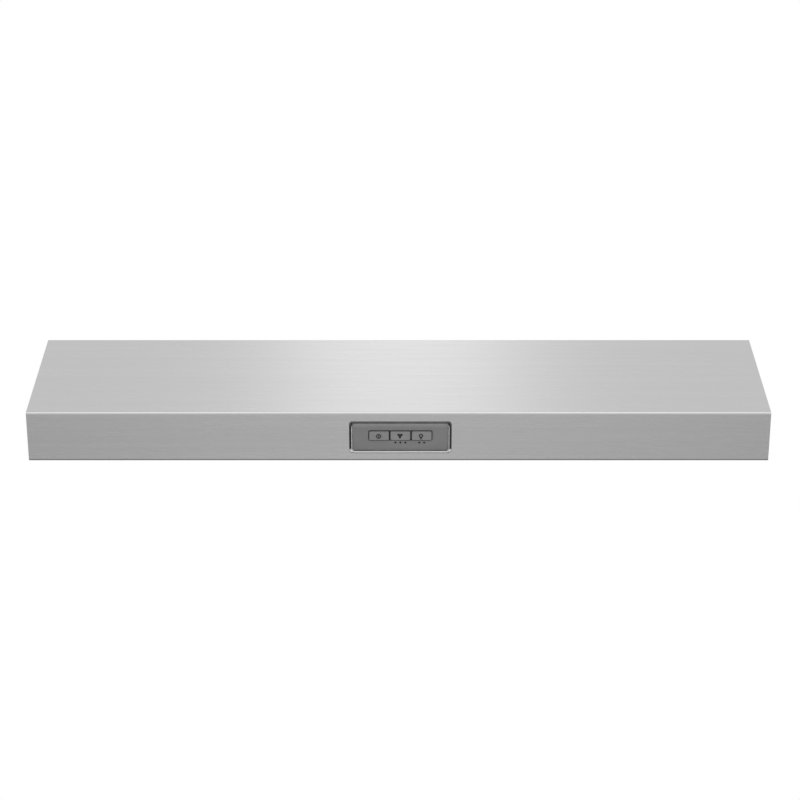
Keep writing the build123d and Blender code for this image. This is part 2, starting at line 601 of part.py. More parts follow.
def control_panel():
    """Moulded insert behind the trim: a face with a window for the buttons, bosses, ears and a step above."""
    outline = RectangleRounded(PANEL_WIDTH, PANEL_HEIGHT, TRIM_RADIUS)
    front = Z_FACE - SEAT
    panel = on_lip(outline, front, PANEL_DEPTH + front)
    panel = fillet(panel.faces().sort_by(OUTWARDS)[-1].edges(), PANEL_EDGE)
    reach = CUT_WIDTH + 2 * (EAR_MARGIN + EAR_FOOT)
    panel += on_lip(Rectangle(reach, EAR_HEIGHT), -SKIN - EAR_SINK, EAR_THICKNESS)
    feet = Rectangle(reach, EAR_HEIGHT) - Rectangle(CUT_WIDTH + 2 * EAR_MARGIN, EAR_HEIGHT)
    panel += on_lip(feet, -SKIN, EAR_SINK)
    step = Pos(0, PANEL_HEIGHT / 2) * Rectangle(PANEL_WIDTH, 2 * TRIM_TOP_GAP)
    panel += on_lip(step, front - PANEL_STEP, EAR_THICKNESS)
    hollow = Rectangle(PANEL_WIDTH - 2 * PANEL_WALL, PANEL_HEIGHT - 2 * PANEL_WALL)
    panel -= on_lip(hollow, Z_FACE_BACK, PANEL_DEPTH)
    bosses = [spot * Circle(BOSS_RADIUS) for spot in boss_spots()]
    panel += on_lip(Sketch() + bosses, Z_FACE_BACK, Z_FACE_BACK - Z_BOARD - SEAT)
    pilots = [spot * Circle(BOARD_SCREW_RADIUS + SCREW_GAP) for spot in boss_spots()]
    panel -= on_lip(Sketch() + pilots, Z_FACE_BACK, PANEL_DEPTH)
    row = 2 * BUTTON_PITCH + BUTTON_WIDTH
    size = (row + 2 * BUTTON_GAP, BUTTON_HEIGHT + 2 * BUTTON_GAP, BUTTON_RADIUS + BUTTON_GAP)
    holes = [Pos(0, BUTTON_RISE) * RectangleRounded(*size)]
    holes += [spot * Circle(LED_PIPE_RADIUS + SEAT) for spot in light_spots()]
    return panel - on_lip(Sketch() + holes, 0, PANEL_DEPTH)


def button(x):
    """Push button: a rounded cap through the face, a flange behind it and a stem for the switch."""
    cap = RectangleRounded(BUTTON_WIDTH, BUTTON_HEIGHT, BUTTON_RADIUS)
    front = Z_FACE + BUTTON_PROUD
    spot = Pos(x, BUTTON_RISE)
    body = on_lip(spot * cap, front, front - Z_BUTTON_BACK)
    body = fillet(body.faces().sort_by(OUTWARDS)[-1].edges(), BUTTON_EDGE)
    wide = Rectangle(BUTTON_WIDTH + 2 * BUTTON_FLANGE_SIDE, BUTTON_HEIGHT + 2 * BUTTON_FLANGE)
    body += on_lip(spot * wide, Z_FACE_BACK - BUTTON_SLACK, BUTTON_FLANGE_THICKNESS)
    return body + on_lip(spot * Circle(STEM_RADIUS), Z_BUTTON_BACK, STEM_LENGTH)


def indicator_pipes():
    """Clear light pipes from the board to the face of the panel."""
    length = Z_FACE - Z_BOARD - SEAT
    return group(on_lip(spot * Circle(LED_PIPE_RADIUS), Z_FACE, length) for spot in light_spots())


def control_board():
    """Circuit board behind the buttons, on the panel's bosses."""
    edge = 2 * (PANEL_WALL + BOARD_MARGIN)
    outline = Rectangle(PANEL_WIDTH - edge, PANEL_HEIGHT - edge)
    holes = [spot * Circle(BOARD_SCREW_RADIUS + SCREW_GAP) for spot in boss_spots()]
    return on_lip(outline - holes, Z_BOARD, BOARD_THICKNESS)


def tact_switches():
    """One switch under each button, on the board."""
    body_top = Z_SWITCH - SWITCH_PLUNGER
    switches = []
    for x in button_centres().values():
        spot = Pos(x, BUTTON_RISE)
        body = on_lip(spot * Rectangle(SWITCH_SIZE, SWITCH_SIZE), body_top, body_top - Z_BOARD - SEAT)
        plunger = on_lip(spot * Circle(SWITCH_PLUNGER_RADIUS), Z_SWITCH, SWITCH_PLUNGER)
        switches.append(body + plunger)
    return group(switches)


def control_cover():
    """Open-fronted cap over the back of the board, with a hole for the lead."""
    start = -PANEL_DEPTH - SEAT
    cover = on_lip(Rectangle(PANEL_WIDTH, PANEL_HEIGHT), start, COVER_DEPTH)
    hollow = Rectangle(PANEL_WIDTH - 2 * COVER_WALL, PANEL_HEIGHT - 2 * COVER_WALL)
    cover -= on_lip(hollow, start, COVER_DEPTH - COVER_WALL)
    return cover - on_lip(Circle(COVER_LEAD_RADIUS), start, 2 * COVER_DEPTH)


def control_screws():
    """Small screws that hold the board to the bosses."""
    level = PANEL_PLANE.offset(Z_BOARD - BOARD_THICKNESS - SEAT)
    piece = screw(BOARD_THICKNESS + SEAT, BOARD_SCREW_RADIUS, BOSS_RADIUS)
    return group(level * spot * piece for spot in boss_spots())


# Blower

SCROLL_CENTRES = [
    (BLOWER_X - SCROLL_STEP / 2, BLOWER_Y - SCROLL_STEP / 2),
    (BLOWER_X + SCROLL_STEP / 2, BLOWER_Y - SCROLL_STEP / 2),
    (BLOWER_X + SCROLL_STEP / 2, BLOWER_Y + SCROLL_STEP / 2),
]
OUTLET_HALF = DUCT_WIDTH / 2 - SHEET
Y_OUTLET = BACK_FACE - SKIN
PLATE_LEFT = BLOWER_X - SCROLL_STEP / 2 - SCROLL_START - EAR
PLATE_RIGHT = OUTLET_HALF + EAR
PLATE_FRONT = BLOWER_Y - SCROLL_STEP / 2 - SCROLL_START - SCROLL_STEP - EAR
PLATE_REAR = BLOWER_Y + FLARE_START + EAR


def scroll_outline(wall):
    """Plan of the scroll: three growing quarter turns from the tongue, then a flare to the outlet."""
    radii = [SCROLL_START + i * SCROLL_STEP + wall for i in range(3)]
    turns = [(TONGUE_ANGLE, 180), (180, 270), (270, 360)]
    arcs = []
    for (x, y), radius, (start, end) in zip(SCROLL_CENTRES, radii, turns):
        arcs.append(CenterArc((x, y), radius, start, end - start))
    first, last = arcs[0] @ 0, arcs[2] @ 1
    end = OUTLET_HALF + wall
    flare = (last.X, BLOWER_Y + FLARE_START)
    rest = Polyline(last, flare, (end, Y_OUTLET), (-end, Y_OUTLET), first)
    return make_face([*arcs, *rest.edges()])


def ear_spots():
    """Screws at the four corners of the scroll's plate, up into the rails."""
    xs = (PLATE_LEFT + EAR_INSET, PLATE_RIGHT - EAR_INSET)
    ys = (PLATE_FRONT + EAR_INSET, PLATE_REAR - EAR_INSET)
    return [(x, y) for x in xs for y in ys]


def motor_screw_spots():
    radius = MOTOR_RADIUS + MOTOR_FLANGE / 2
    return [Pos(BLOWER_X, BLOWER_Y, 0) * spot for spot in PolarLocations(radius, MOTOR_SCREWS)]


def blower_scroll():
    """Top plate with corner ears, and the spiral wall that hangs from it."""
    low = Z_SCROLL_PLATE - SHEET
    plate = block(PLATE_LEFT, PLATE_RIGHT, PLATE_FRONT, PLATE_REAR, low, Z_SCROLL_PLATE)
    plate += Pos(0, 0, low) * extrude(scroll_outline(SHEET), amount=SHEET)
    wall = extrude(scroll_outline(SHEET) - scroll_outline(0), amount=-SCROLL_HEIGHT)
    mouth = block(-OUTLET_HALF, OUTLET_HALF, Y_OUTLET - SHEET, Y_OUTLET + OVER, low - SCROLL_HEIGHT, low)
    scroll = plate + Pos(0, 0, low) * wall - mouth
    scroll -= rod(MOTOR_CAP_RADIUS + SCREW_GAP, BLOWER_X, BLOWER_Y, low - OVER, Z_SCROLL_PLATE + OVER)
    for x, y in ear_spots():
        scroll -= rod(SCREW_RADIUS + SCREW_GAP, x, y, low - OVER, Z_SCROLL_PLATE + OVER)
    for spot in motor_screw_spots():
        scroll -= spot * rod(SCREW_RADIUS + SCREW_GAP, 0, 0, low - OVER, Z_SCROLL_PLATE + OVER)
    return scroll


def inlet_plate():
    """Bottom of the scroll, with a bell mouth that leads the air into the wheel."""
    top = Z_SCROLL - SEAT
    plate = Pos(0, 0, top - SHEET) * extrude(scroll_outline(SHEET), amount=SHEET)
    mouth = BLADE_ROOT - BELL_GAP - SHEET
    hole = mouth + BELL_RADIUS
    plate -= rod(hole, BLOWER_X, BLOWER_Y, top - OVER, top + OVER)
    centre = (hole, top - SHEET + BELL_RADIUS)
    bell = make_face(
        [
            CenterArc(centre, BELL_RADIUS, 180, 90),
            CenterArc(centre, BELL_RADIUS - SHEET, 180, 90),
            Line((mouth, centre[1]), (mouth + SHEET, centre[1])),
            Line((hole, centre[1] - BELL_RADIUS), (hole, centre[1] - BELL_RADIUS + SHEET)),
        ]
    )
    return plate + Pos(BLOWER_X, BLOWER_Y, 0) * revolve(Plane.XZ * bell, Axis.Z)


def blower_rail(y):
    """Hat channel across the underside of the top, which carries the scroll's plate."""
    half = RAIL_WEB / 2
    top, low = -SHEET - SEAT, Z_SCROLL_PLATE + SEAT
    line = [
        (y - half - RAIL_FOOT, top),
        (y - half, top),
        (y - half, low + SHEET),
        (y + half, low + SHEET),
        (y + half, top),
        (y + half + RAIL_FOOT, top),
    ]
    rail = extrude(Plane.YZ.offset(PLATE_LEFT) * channel(line), amount=PLATE_RIGHT - PLATE_LEFT)
    for x, ear_y in ear_spots():
        rail -= rod(SCREW_RADIUS + SCREW_GAP, x, ear_y, low - OVER, low + 2 * SHEET)
    return rail


def blower_screws():
    low = Z_SCROLL_PLATE - SHEET
    return group(Pos(x, y, low) * screw(SHEET + SKIN) for x, y in ear_spots())


Z_WHEEL = Z_SCROLL + WHEEL_FLOOR_GAP
Z_WHEEL_TOP = Z_WHEEL + WHEEL_HEIGHT
Z_CUP = Z_WHEEL_TOP - CUP_DEPTH
Z_MOTOR_FLANGE = Z_SCROLL_PLATE - SHEET - SEAT


def blade_outline():
    """Forward-curved blade: an arc from root to tip, and the same arc turned by the blade's thickness."""
    tip_angle = math.radians(BLADE_SWEEP)
    root = Vector(BLADE_ROOT, 0)
    tip = Vector(WHEEL_RADIUS * math.cos(tip_angle), WHEEL_RADIUS * math.sin(tip_angle))
    middle = (root + tip) / 2 - Vector(0, BLADE_BULGE)
    front = ThreePointArc(root, middle, tip)
    back = front.rotate(Axis.Z, BLADE_TURN)
    return make_face([front, back, Line(front @ 0, back @ 0), Line(front @ 1, back @ 1)])


def blower_wheel():
    """Squirrel-cage wheel: a ring of curved blades, a tip ring at the inlet and a dished back with a hub."""
    blades = [spot * blade_outline() for spot in PolarLocations(0, BLADES)]
    cage = Pos(0, 0, Z_WHEEL) * extrude(Sketch() + blades, amount=WHEEL_HEIGHT)
    back = Circle(WHEEL_RADIUS) - Circle(CUP_RADIUS - WHEEL_SKIN)
    cage += Pos(0, 0, Z_WHEEL_TOP - WHEEL_SKIN) * extrude(back, amount=WHEEL_SKIN)
    ring = Circle(WHEEL_RADIUS) - Circle(WHEEL_RADIUS - WHEEL_RING)
    cage += Pos(0, 0, Z_WHEEL) * extrude(ring, amount=WHEEL_SKIN)
    cup = rod(CUP_RADIUS, 0, 0, Z_CUP - WHEEL_SKIN, Z_WHEEL_TOP)
    cup -= rod(CUP_RADIUS - WHEEL_SKIN, 0, 0, Z_CUP, Z_WHEEL_TOP + OVER)
    cup += rod(HUB_RADIUS, 0, 0, Z_CUP - HUB_HEIGHT / 2, Z_CUP + HUB_HEIGHT / 2)
    bore = rod(SHAFT_RADIUS + SHAFT_GAP, 0, 0, Z_CUP - HUB_HEIGHT, Z_CUP + HUB_HEIGHT)
    return Pos(BLOWER_X, BLOWER_Y, 0) * (cage + cup - bore)


def motor_shaft():
    low = Z_CUP - HUB_HEIGHT / 2 - SHEET
    return rod(SHAFT_RADIUS, BLOWER_X, BLOWER_Y, low, low + SHAFT_LENGTH)


def blower_motor():
    """Closed motor: a can that hangs in the wheel's dish, a flange under the plate and a cap above it."""
    low = Z_MOTOR_FLANGE - MOTOR_LENGTH
    motor = rod(MOTOR_RADIUS, BLOWER_X, BLOWER_Y, low, Z_MOTOR_FLANGE)
    motor = fillet(motor.edges().group_by(Axis.Z)[0], MOTOR_FLANGE / 2)
    flange_low = Z_MOTOR_FLANGE - MOTOR_FLANGE_THICKNESS
    motor += rod(MOTOR_RADIUS + MOTOR_FLANGE, BLOWER_X, BLOWER_Y, flange_low, Z_MOTOR_FLANGE)
    cap_top = Z_SCROLL_PLATE + MOTOR_CAP
    motor += rod(MOTOR_CAP_RADIUS, BLOWER_X, BLOWER_Y, Z_MOTOR_FLANGE - SHEET, cap_top)
    shaft_top = Z_CUP - HUB_HEIGHT / 2 - SHEET + SHAFT_LENGTH
    motor -= rod(SHAFT_RADIUS + SHAFT_GAP, BLOWER_X, BLOWER_Y, low - OVER, shaft_top + SEAT)
    for spot in motor_screw_spots():
        motor -= spot * rod(SCREW_RADIUS + SCREW_GAP, 0, 0, low, Z_MOTOR_FLANGE + OVER)
    return motor


def motor_screws():
    """Screws from above, through the scroll's plate into the motor's flange."""
    turned = Pos(0, 0, Z_SCROLL_PLATE) * Rot(180, 0, 0)
    return group(spot * turned * screw(SHEET + SEAT) for spot in motor_screw_spots())


# Duct collar and backdraft damper

COLLAR_BACK = BACK_FACE + COLLAR_LENGTH
PIN_Z = Z_DUCT + DUCT_HEIGHT / 2 - SHEET - PIN_INSET
FLAP_Y = BACK_FACE + FLAP_SETBACK
FLAP_HALF = DUCT_WIDTH / 2 - SHEET - FLAP_GAP
FLAP_LOW = Z_DUCT - DUCT_HEIGHT / 2 + SHEET + FLAP_GAP


def duct_collar():
    """Rectangular sleeve on the back panel, with a tab at each end and a ledge that stops the flap."""
    half, rise = DUCT_WIDTH / 2, DUCT_HEIGHT / 2
    base = BACK_FACE + SEAT
    collar = block(-half, half, base, COLLAR_BACK, Z_DUCT - rise, Z_DUCT + rise)
    collar += block(
        -half - COLLAR_TAB, half + COLLAR_TAB, base, base + SHEET, Z_DUCT - rise, Z_DUCT + rise
    )
    collar -= block(
        -half + SHEET,
        half - SHEET,
        base - OVER,
        COLLAR_BACK + OVER,
        Z_DUCT - rise + SHEET,
        Z_DUCT + rise - SHEET,
    )
    stop = FLAP_Y - FLAP_THICKNESS / 2 - 3 * SEAT
    floor = Z_DUCT - rise + SHEET
    collar += block(-half + SHEET, half - SHEET, stop - SHEET, stop, floor - SHEET / 2, floor + FLAP_STOP)
    pin = Plane((0, FLAP_Y, PIN_Z), (0, 1, 0), (1, 0, 0))
    collar -= pin * Cylinder(PIN_RADIUS + PIN_GAP, DUCT_WIDTH + OVER)
    for spot in collar_screw_spots():
        collar -= spot * Cylinder(SCREW_RADIUS + SCREW_GAP, 4 * OVER)
    return collar


def damper_flap():
    """Backdraft flap: a thin plate that hangs from a curl round the pin."""
    along = Plane((0, FLAP_Y, PIN_Z), (0, 1, 0), (1, 0, 0))
    curl = along * Cylinder(PIN_RADIUS + PIN_GAP + CURL_WALL, 2 * FLAP_HALF)
    half = FLAP_THICKNESS / 2
    plate = block(-FLAP_HALF, FLAP_HALF, FLAP_Y - half, FLAP_Y + half, FLAP_LOW, PIN_Z)
    return plate + curl - along * Cylinder(PIN_RADIUS + PIN_GAP, 2 * FLAP_HALF + OVER)


def damper_pin():
    """Hinge pin through both ends of the collar, with low heads outside."""
    along = Plane((0, FLAP_Y, PIN_Z), (0, 1, 0), (1, 0, 0))
    pin = along * Cylinder(PIN_RADIUS, DUCT_WIDTH + 2 * SEAT)
    for side in SIDES.values():
        head = Cylinder(2 * PIN_RADIUS, PIN_HEAD)
        pin += along * Pos(0, 0, side * (DUCT_WIDTH / 2 + SEAT + PIN_HEAD / 2)) * head
    return pin


def collar_screws():
    level = Pos(0, 0, -SEAT)
    return group(spot * level * screw(SHEET + SKIN) for spot in collar_screw_spots())


# Wiring box, power supply and leads

WIRING_BACK = BACK_FACE - SKIN
WIRING_FRONT = WIRING_BACK - WIRING_DEPTH


def wiring_box():
    """Five-sided box on the inside of the back panel, with a knock-out hole for the house wiring."""
    half, rise = WIRING_WIDTH / 2, WIRING_HEIGHT / 2
    low, top = WIRING_Z - rise, WIRING_Z + rise
    box = block(WIRING_X - half, WIRING_X + half, WIRING_FRONT, WIRING_BACK, low, top)
    box -= block(
        WIRING_X - half + SHEET,
        WIRING_X + half - SHEET,
        WIRING_FRONT - OVER,
        WIRING_BACK - SHEET,
        low + SHEET,
        top - SHEET,
    )
    wall = Plane((WIRING_X, WIRING_BACK, WIRING_Z), (1, 0, 0), (0, -1, 0))
    box -= wall * Cylinder(CONDUIT_RADIUS, 4 * OVER)
    for spot in wiring_screw_spots():
        box -= spot * Cylinder(SCREW_RADIUS + SCREW_GAP, 4 * OVER)
    side = Plane((WIRING_X + half, (WIRING_FRONT + WIRING_BACK) / 2, WIRING_Z), (0, 1, 0), (1, 0, 0))
    return box - side * Cylinder(LEAD_RADIUS + SEAT, OVER)


def wiring_cover():
    """Lid over the open front of the wiring box, with lips that slip over its top and bottom."""
    half, rise = WIRING_WIDTH / 2, WIRING_HEIGHT / 2
    front = WIRING_FRONT - SEAT
    lid = block(
        WIRING_X - half,
        WIRING_X + half,
        front - SHEET,
        front,
        WIRING_Z - rise - SKIN,
        WIRING_Z + rise + SKIN,
    )
    for edge in (WIRING_Z + rise + SEAT, WIRING_Z - rise - SKIN):
        lid += block(WIRING_X - half, WIRING_X + half, front - SHEET, front + END_FLANGE, edge, edge + SHEET)
    return lid


def wiring_screws():
    return group(spot * screw(SHEET + SKIN) for spot in wiring_screw_spots())


def terminal_block():
    """Insulated block with one wire hole per conductor, on the floor of the wiring box."""
    low = WIRING_Z - WIRING_HEIGHT / 2 + SHEET + SEAT
    y = WIRING_FRONT + TERMINAL_DEPTH
    part = Pos(WIRING_X, y, low + TERMINAL_HEIGHT / 2) * Box(TERMINAL_WIDTH, TERMINAL_DEPTH, TERMINAL_HEIGHT)
    pitch = TERMINAL_WIDTH / TERMINAL_WAYS
    for spot in GridLocations(pitch, 1, TERMINAL_WAYS, 1):
        part -= Pos(WIRING_X, y, low + TERMINAL_HEIGHT) * spot * Cylinder(TERMINAL_HOLE, TERMINAL_HEIGHT)
    return part


def power_housing():
    """Plastic tray for the power board, open on top and seated against the underside of the canopy."""
    top = -SHEET - SEAT
    half, deep = POWER_WIDTH / 2, POWER_DEPTH / 2
    tray = block(POWER_X - half, POWER_X + half, POWER_Y - deep, POWER_Y + deep, top - POWER_HEIGHT, top)
    tray = fillet(tray.edges().filter_by(Axis.Z), POWER_WALL)
    tray -= block(
        POWER_X - half + POWER_WALL,
        POWER_X + half - POWER_WALL,
        POWER_Y - deep + POWER_WALL,
        POWER_Y + deep - POWER_WALL,
        top - POWER_HEIGHT + POWER_WALL,
        top + OVER,
    )
    return tray


def power_board():
    """Circuit board on the floor of the power tray, with a transformer block."""
    low = -SKIN - POWER_HEIGHT + POWER_WALL + SEAT
    width = POWER_WIDTH - 2 * POWER_WALL - 2 * BOARD_MARGIN
    deep = POWER_DEPTH - 2 * POWER_WALL - 2 * BOARD_MARGIN
    board = Pos(POWER_X, POWER_Y, low + BOARD_THICKNESS / 2) * Box(width, deep, BOARD_THICKNESS)
    core = POWER_HEIGHT / 2
    return board + Pos(POWER_X + width / 4, POWER_Y, low + BOARD_THICKNESS + core / 2) * Box(
        deep / 2, deep / 2, core
    )


CAPACITOR_Y = POWER_Y + POWER_DEPTH / 2 + CAPACITOR_GAP + CAPACITOR_RADIUS
CAPACITOR_Z = -SKIN - SEAT - SHEET - CAPACITOR_RADIUS


def motor_capacitor():
    """Run capacitor, a round can lying beside the power tray."""
    along = Plane((POWER_X, CAPACITOR_Y, CAPACITOR_Z), (0, 1, 0), (1, 0, 0))
    can = Cylinder(CAPACITOR_RADIUS, CAPACITOR_LENGTH)
    return along * fillet(can.edges(), CAPACITOR_RADIUS / 8)


def saddle(plane, radius, height, strip, foot, width):
    """A strap bent round a bar: the plane's origin is on the bar's axis, and its Y points up to the sheet."""
    inner = radius + SEAT
    outer = inner + strip
    band = Circle(outer) + Pos(0, height / 2) * Rectangle(2 * outer, height)
    band += Pos(0, height - strip / 2) * Rectangle(2 * (outer + foot), strip)
    bore = Circle(inner) + Pos(0, height / 2) * Rectangle(2 * inner, height)
    reach = 2 * (outer + foot)
    under_sheet = Pos(0, height - reach / 2) * Rectangle(reach, reach)
    return extrude(plane * ((band - bore) & under_sheet), amount=width / 2, both=True)


def capacitor_strap():
    """Saddle of strip steel that holds the capacitor up against the top."""
    plane = Plane((POWER_X, CAPACITOR_Y, CAPACITOR_Z), (0, 1, 0), (1, 0, 0))
    return saddle(plane, CAPACITOR_RADIUS, -SKIN - CAPACITOR_Z, SHEET, 2 * RAIL_FOOT, CAPACITOR_STRAP)


LEAD_HANG = SHEET + LEAD_RADIUS + 3 * SEAT  # outside of the sheet to the axis of a lead under it
Z_LEAD = -LEAD_HANG
VISOR = math.hypot(SLOPE_RUN, SLOPE_RISE)
Y_LEAD_KNEE = Y_KNEE + LEAD_HANG * (VISOR - SLOPE_RUN) / SLOPE_RISE
LEAD_TURN = PANEL_PLANE.offset(-PANEL_DEPTH - COVER_DEPTH - 2 * LEAD_BEND).origin
WIRING_SIDE = WIRING_X + WIRING_WIDTH / 2 + SEAT
WIRING_Y = (WIRING_FRONT + WIRING_BACK) / 2
RISER_X = WIRING_SIDE + 2 * LEAD_BEND
MAINS_X = POWER_X - POWER_WIDTH / 2 + LEAD_BEND
POWER_LEFT = POWER_X - POWER_WIDTH / 2
POWER_FRONT = POWER_Y - POWER_DEPTH / 2
LEFT_LAMP_X = POWER_X - LEAD_PITCH  # where the left lamp's lead reaches the power tray
PANEL_LEAD_X = POWER_X - 2 * LEAD_PITCH


def under_visor(y):
    """Level of a lead that runs along the underside of the visor."""
    return -(Y_KNEE - y) * SLOPE_RISE / SLOPE_RUN - LEAD_HANG * VISOR / SLOPE_RUN


def lead(points):
    """A round lead along straight runs joined by arcs."""
    path = FilletPolyline(*points, radius=LEAD_BEND) if len(points) > 2 else Line(*points)
    start = Plane(origin=path @ 0, z_dir=path % 0)
    return sweep(start * Circle(LEAD_RADIUS), path=path)


def wire_harness():
    """Leads clipped under the canopy, each from the power tray to what it feeds."""
    can_top = Z_PAN_TOP + SEAT + LAMP_CAN_HEIGHT + SEAT
    lamp_run, panel_run = under_visor(LAMP_Y), under_visor(LEAD_TURN.Y)
    start = PANEL_PLANE.offset(-PANEL_DEPTH - COVER_DEPTH - 2 * SEAT).origin
    tray = POWER_FRONT - SEAT
    motor = [(BLOWER_X + MOTOR_CAP_RADIUS + SEAT, BLOWER_Y, Z_LEAD), (POWER_LEFT - SEAT, BLOWER_Y, Z_LEAD)]
    right_lamp = [
        (LAMP_X, LAMP_Y, can_top),
        (LAMP_X, LAMP_Y, lamp_run),
        (LAMP_X, Y_LEAD_KNEE, Z_LEAD),
        (LAMP_X, tray, Z_LEAD),
    ]
    left_lamp = [
        (-LAMP_X, LAMP_Y, can_top),
        (-LAMP_X, LAMP_Y, lamp_run),
        (LEFT_LAMP_X, LAMP_Y, lamp_run),
        (LEFT_LAMP_X, Y_LEAD_KNEE, Z_LEAD),
        (LEFT_LAMP_X, tray, Z_LEAD),
    ]
    panel = [
        tuple(start),
        tuple(LEAD_TURN),
        (LEAD_TURN.X, LEAD_TURN.Y, panel_run),
        (PANEL_LEAD_X, LEAD_TURN.Y, panel_run),
        (PANEL_LEAD_X, Y_LEAD_KNEE, Z_LEAD),
        (PANEL_LEAD_X, tray, Z_LEAD),
    ]
    mains = [
        (WIRING_SIDE, WIRING_Y, WIRING_Z),
        (RISER_X, WIRING_Y, WIRING_Z),
        (RISER_X, WIRING_Y, Z_LEAD),
        (MAINS_X, WIRING_Y, Z_LEAD),
        (MAINS_X, POWER_Y + POWER_DEPTH / 2 + SEAT, Z_LEAD),
    ]
    return group(lead(route) for route in (motor, right_lamp, left_lamp, panel, mains))


def lead_clips():
    """Saddles that hold the leads up against the visor and the top."""
    across, along = (1, 0, 0), (0, 1, 0)
    visor = (0, SLOPE_RUN, SLOPE_RISE)  # up the visor, square to a lead that runs across it
    planes = [
        Plane((x, LAMP_Y, under_visor(LAMP_Y)), visor, across) for x in (-LAMP_X / 2, 0, LAMP_X / 2)
    ]
    planes.append(Plane((PANEL_LEAD_X / 2, LEAD_TURN.Y, under_visor(LEAD_TURN.Y)), visor, across))
    middle = (Y_LEAD_KNEE + POWER_FRONT) / 2
    planes += [Plane((x, middle, Z_LEAD), (-1, 0, 0), along) for x in (LAMP_X, LEFT_LAMP_X, PANEL_LEAD_X)]
    third = (MAINS_X - RISER_X) / 3
    planes += [Plane((RISER_X + n * third, WIRING_Y, Z_LEAD), along, across) for n in (1, 2)]
    planes.append(Plane(((BLOWER_X + MOTOR_CAP_RADIUS + POWER_LEFT) / 2, BLOWER_Y, Z_LEAD), along, across))
    height = LEAD_HANG - SHEET - SEAT
    return group(saddle(plane, LEAD_RADIUS, height, CLIP_STRIP, CLIP_FOOT, CLIP_WIDTH) for plane in planes)


def write(name, shape):
    export_step(shape, os.path.join("parts", name + ".step"))


def main():
    os.makedirs("parts", exist_ok=True)
    write("canopy_shell", canopy_shell())
    write("back_panel", back_panel())
    write("under_pan", under_pan())
    write("pan_screws", pan_screws())
    for name, side in SIDES.items():
        write(name + "_end_panel", end_panel(side))
        x = side * OPENING_X
        write(name + "_filter_frame", filter_frame(x))
        write(name + "_filter_mesh", filter_mesh(x))
        write(name + "_filter_latch", filter_latch(x))
        x = side * LAMP_X
        write(name + "_lamp_can", lamp_can(x))
        write(name + "_lamp_bezel", lamp_bezel(x))
        write(name + "_lamp_lens", lamp_lens(x))
        write(name + "_lamp_board", lamp_board(x))
    write("control_trim", control_trim())
    write("control_panel", control_panel())
    for name, x in button_centres().items():
        write(name, button(x))
    write("indicator_pipes", indicator_pipes())
    write("control_board", control_board())
    write("tact_switches", tact_switches())
    write("control_cover", control_cover())
    write("control_screws", control_screws())
    write("blower_scroll", blower_scroll())
    write("inlet_plate", inlet_plate())
    write("blower_rail_front", blower_rail(PLATE_FRONT + EAR_INSET))
    write("blower_rail_rear", blower_rail(PLATE_REAR - EAR_INSET))
    write("blower_screws", blower_screws())
    write("blower_wheel", blower_wheel())
    write("motor_shaft", motor_shaft())
    write("blower_motor", blower_motor())
    write("motor_screws", motor_screws())
    write("duct_collar", duct_collar())
    write("damper_flap", damper_flap())
    write("damper_pin", damper_pin())
    write("collar_screws", collar_screws())
    write("wiring_box", wiring_box())
    write("wiring_cover", wiring_cover())
    write("wiring_screws", wiring_screws())
    write("terminal_block", terminal_block())
    write("power_housing", power_housing())
    write("power_board", power_board())
    write("motor_capacitor", motor_capacitor())
    write("capacitor_strap", capacitor_strap())
    write("wire_harness", wire_harness())
    write("lead_clips", lead_clips())


main()
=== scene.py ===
"""Under-cabinet range hood: finishes, fine pieces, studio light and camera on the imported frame."""
import json
import math

import bmesh
import bpy
import numpy as np
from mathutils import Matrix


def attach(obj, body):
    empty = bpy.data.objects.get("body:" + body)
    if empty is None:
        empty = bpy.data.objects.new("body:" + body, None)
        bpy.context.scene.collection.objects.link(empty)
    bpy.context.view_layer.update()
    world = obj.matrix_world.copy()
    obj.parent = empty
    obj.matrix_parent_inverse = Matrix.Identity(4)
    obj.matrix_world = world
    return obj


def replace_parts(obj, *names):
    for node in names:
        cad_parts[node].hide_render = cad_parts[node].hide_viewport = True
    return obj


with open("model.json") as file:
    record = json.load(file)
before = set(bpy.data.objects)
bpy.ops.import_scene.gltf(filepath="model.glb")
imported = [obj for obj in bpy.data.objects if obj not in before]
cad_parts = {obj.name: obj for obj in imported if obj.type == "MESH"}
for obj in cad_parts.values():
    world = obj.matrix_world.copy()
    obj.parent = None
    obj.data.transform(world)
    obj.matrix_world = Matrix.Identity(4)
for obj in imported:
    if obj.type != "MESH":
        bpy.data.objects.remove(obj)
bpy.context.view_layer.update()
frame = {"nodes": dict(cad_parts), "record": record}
NODES = frame["nodes"]
MM = 0.001
SIDES = {"left": -1, "right": 1}

# Places taken from the solids, in millimetres

LIP_DROP = 49.0
LIP_SETBACK = 21.0
LIP_LENGTH = math.hypot(LIP_DROP, LIP_SETBACK)
LIP_ORIGIN = np.array([0.0, -315.5, -102.5])  # middle of the lip's face
LIP_RIGHT = np.array([1.0, 0.0, 0.0])
LIP_UP = np.array([0.0, -LIP_SETBACK, LIP_DROP]) / LIP_LENGTH
LIP_OUT = np.array([0.0, -LIP_DROP, -LIP_SETBACK]) / LIP_LENGTH
LIP_AXES = np.stack([LIP_RIGHT, LIP_UP, LIP_OUT])
CONTROL_X = 1.9  # middle of the control panel
BUTTON_ROW = -0.275  # along the lip, from its middle
BUTTON_FACE = -2.3  # below the face of the lip
BUTTON_PITCH = 21.9
LAMP_X = 250.0
LAMP_Y = -221.1
LENS_RIM = 30.3
LENS_TOP = -114.5
LENS_LOW = -117.5
MESH_HALF_LENGTH = 167.0
MESH_CENTRE_X = 180.0
MESH_FRONT = -141.2
MESH_BACK = 142.3


# Material nodes


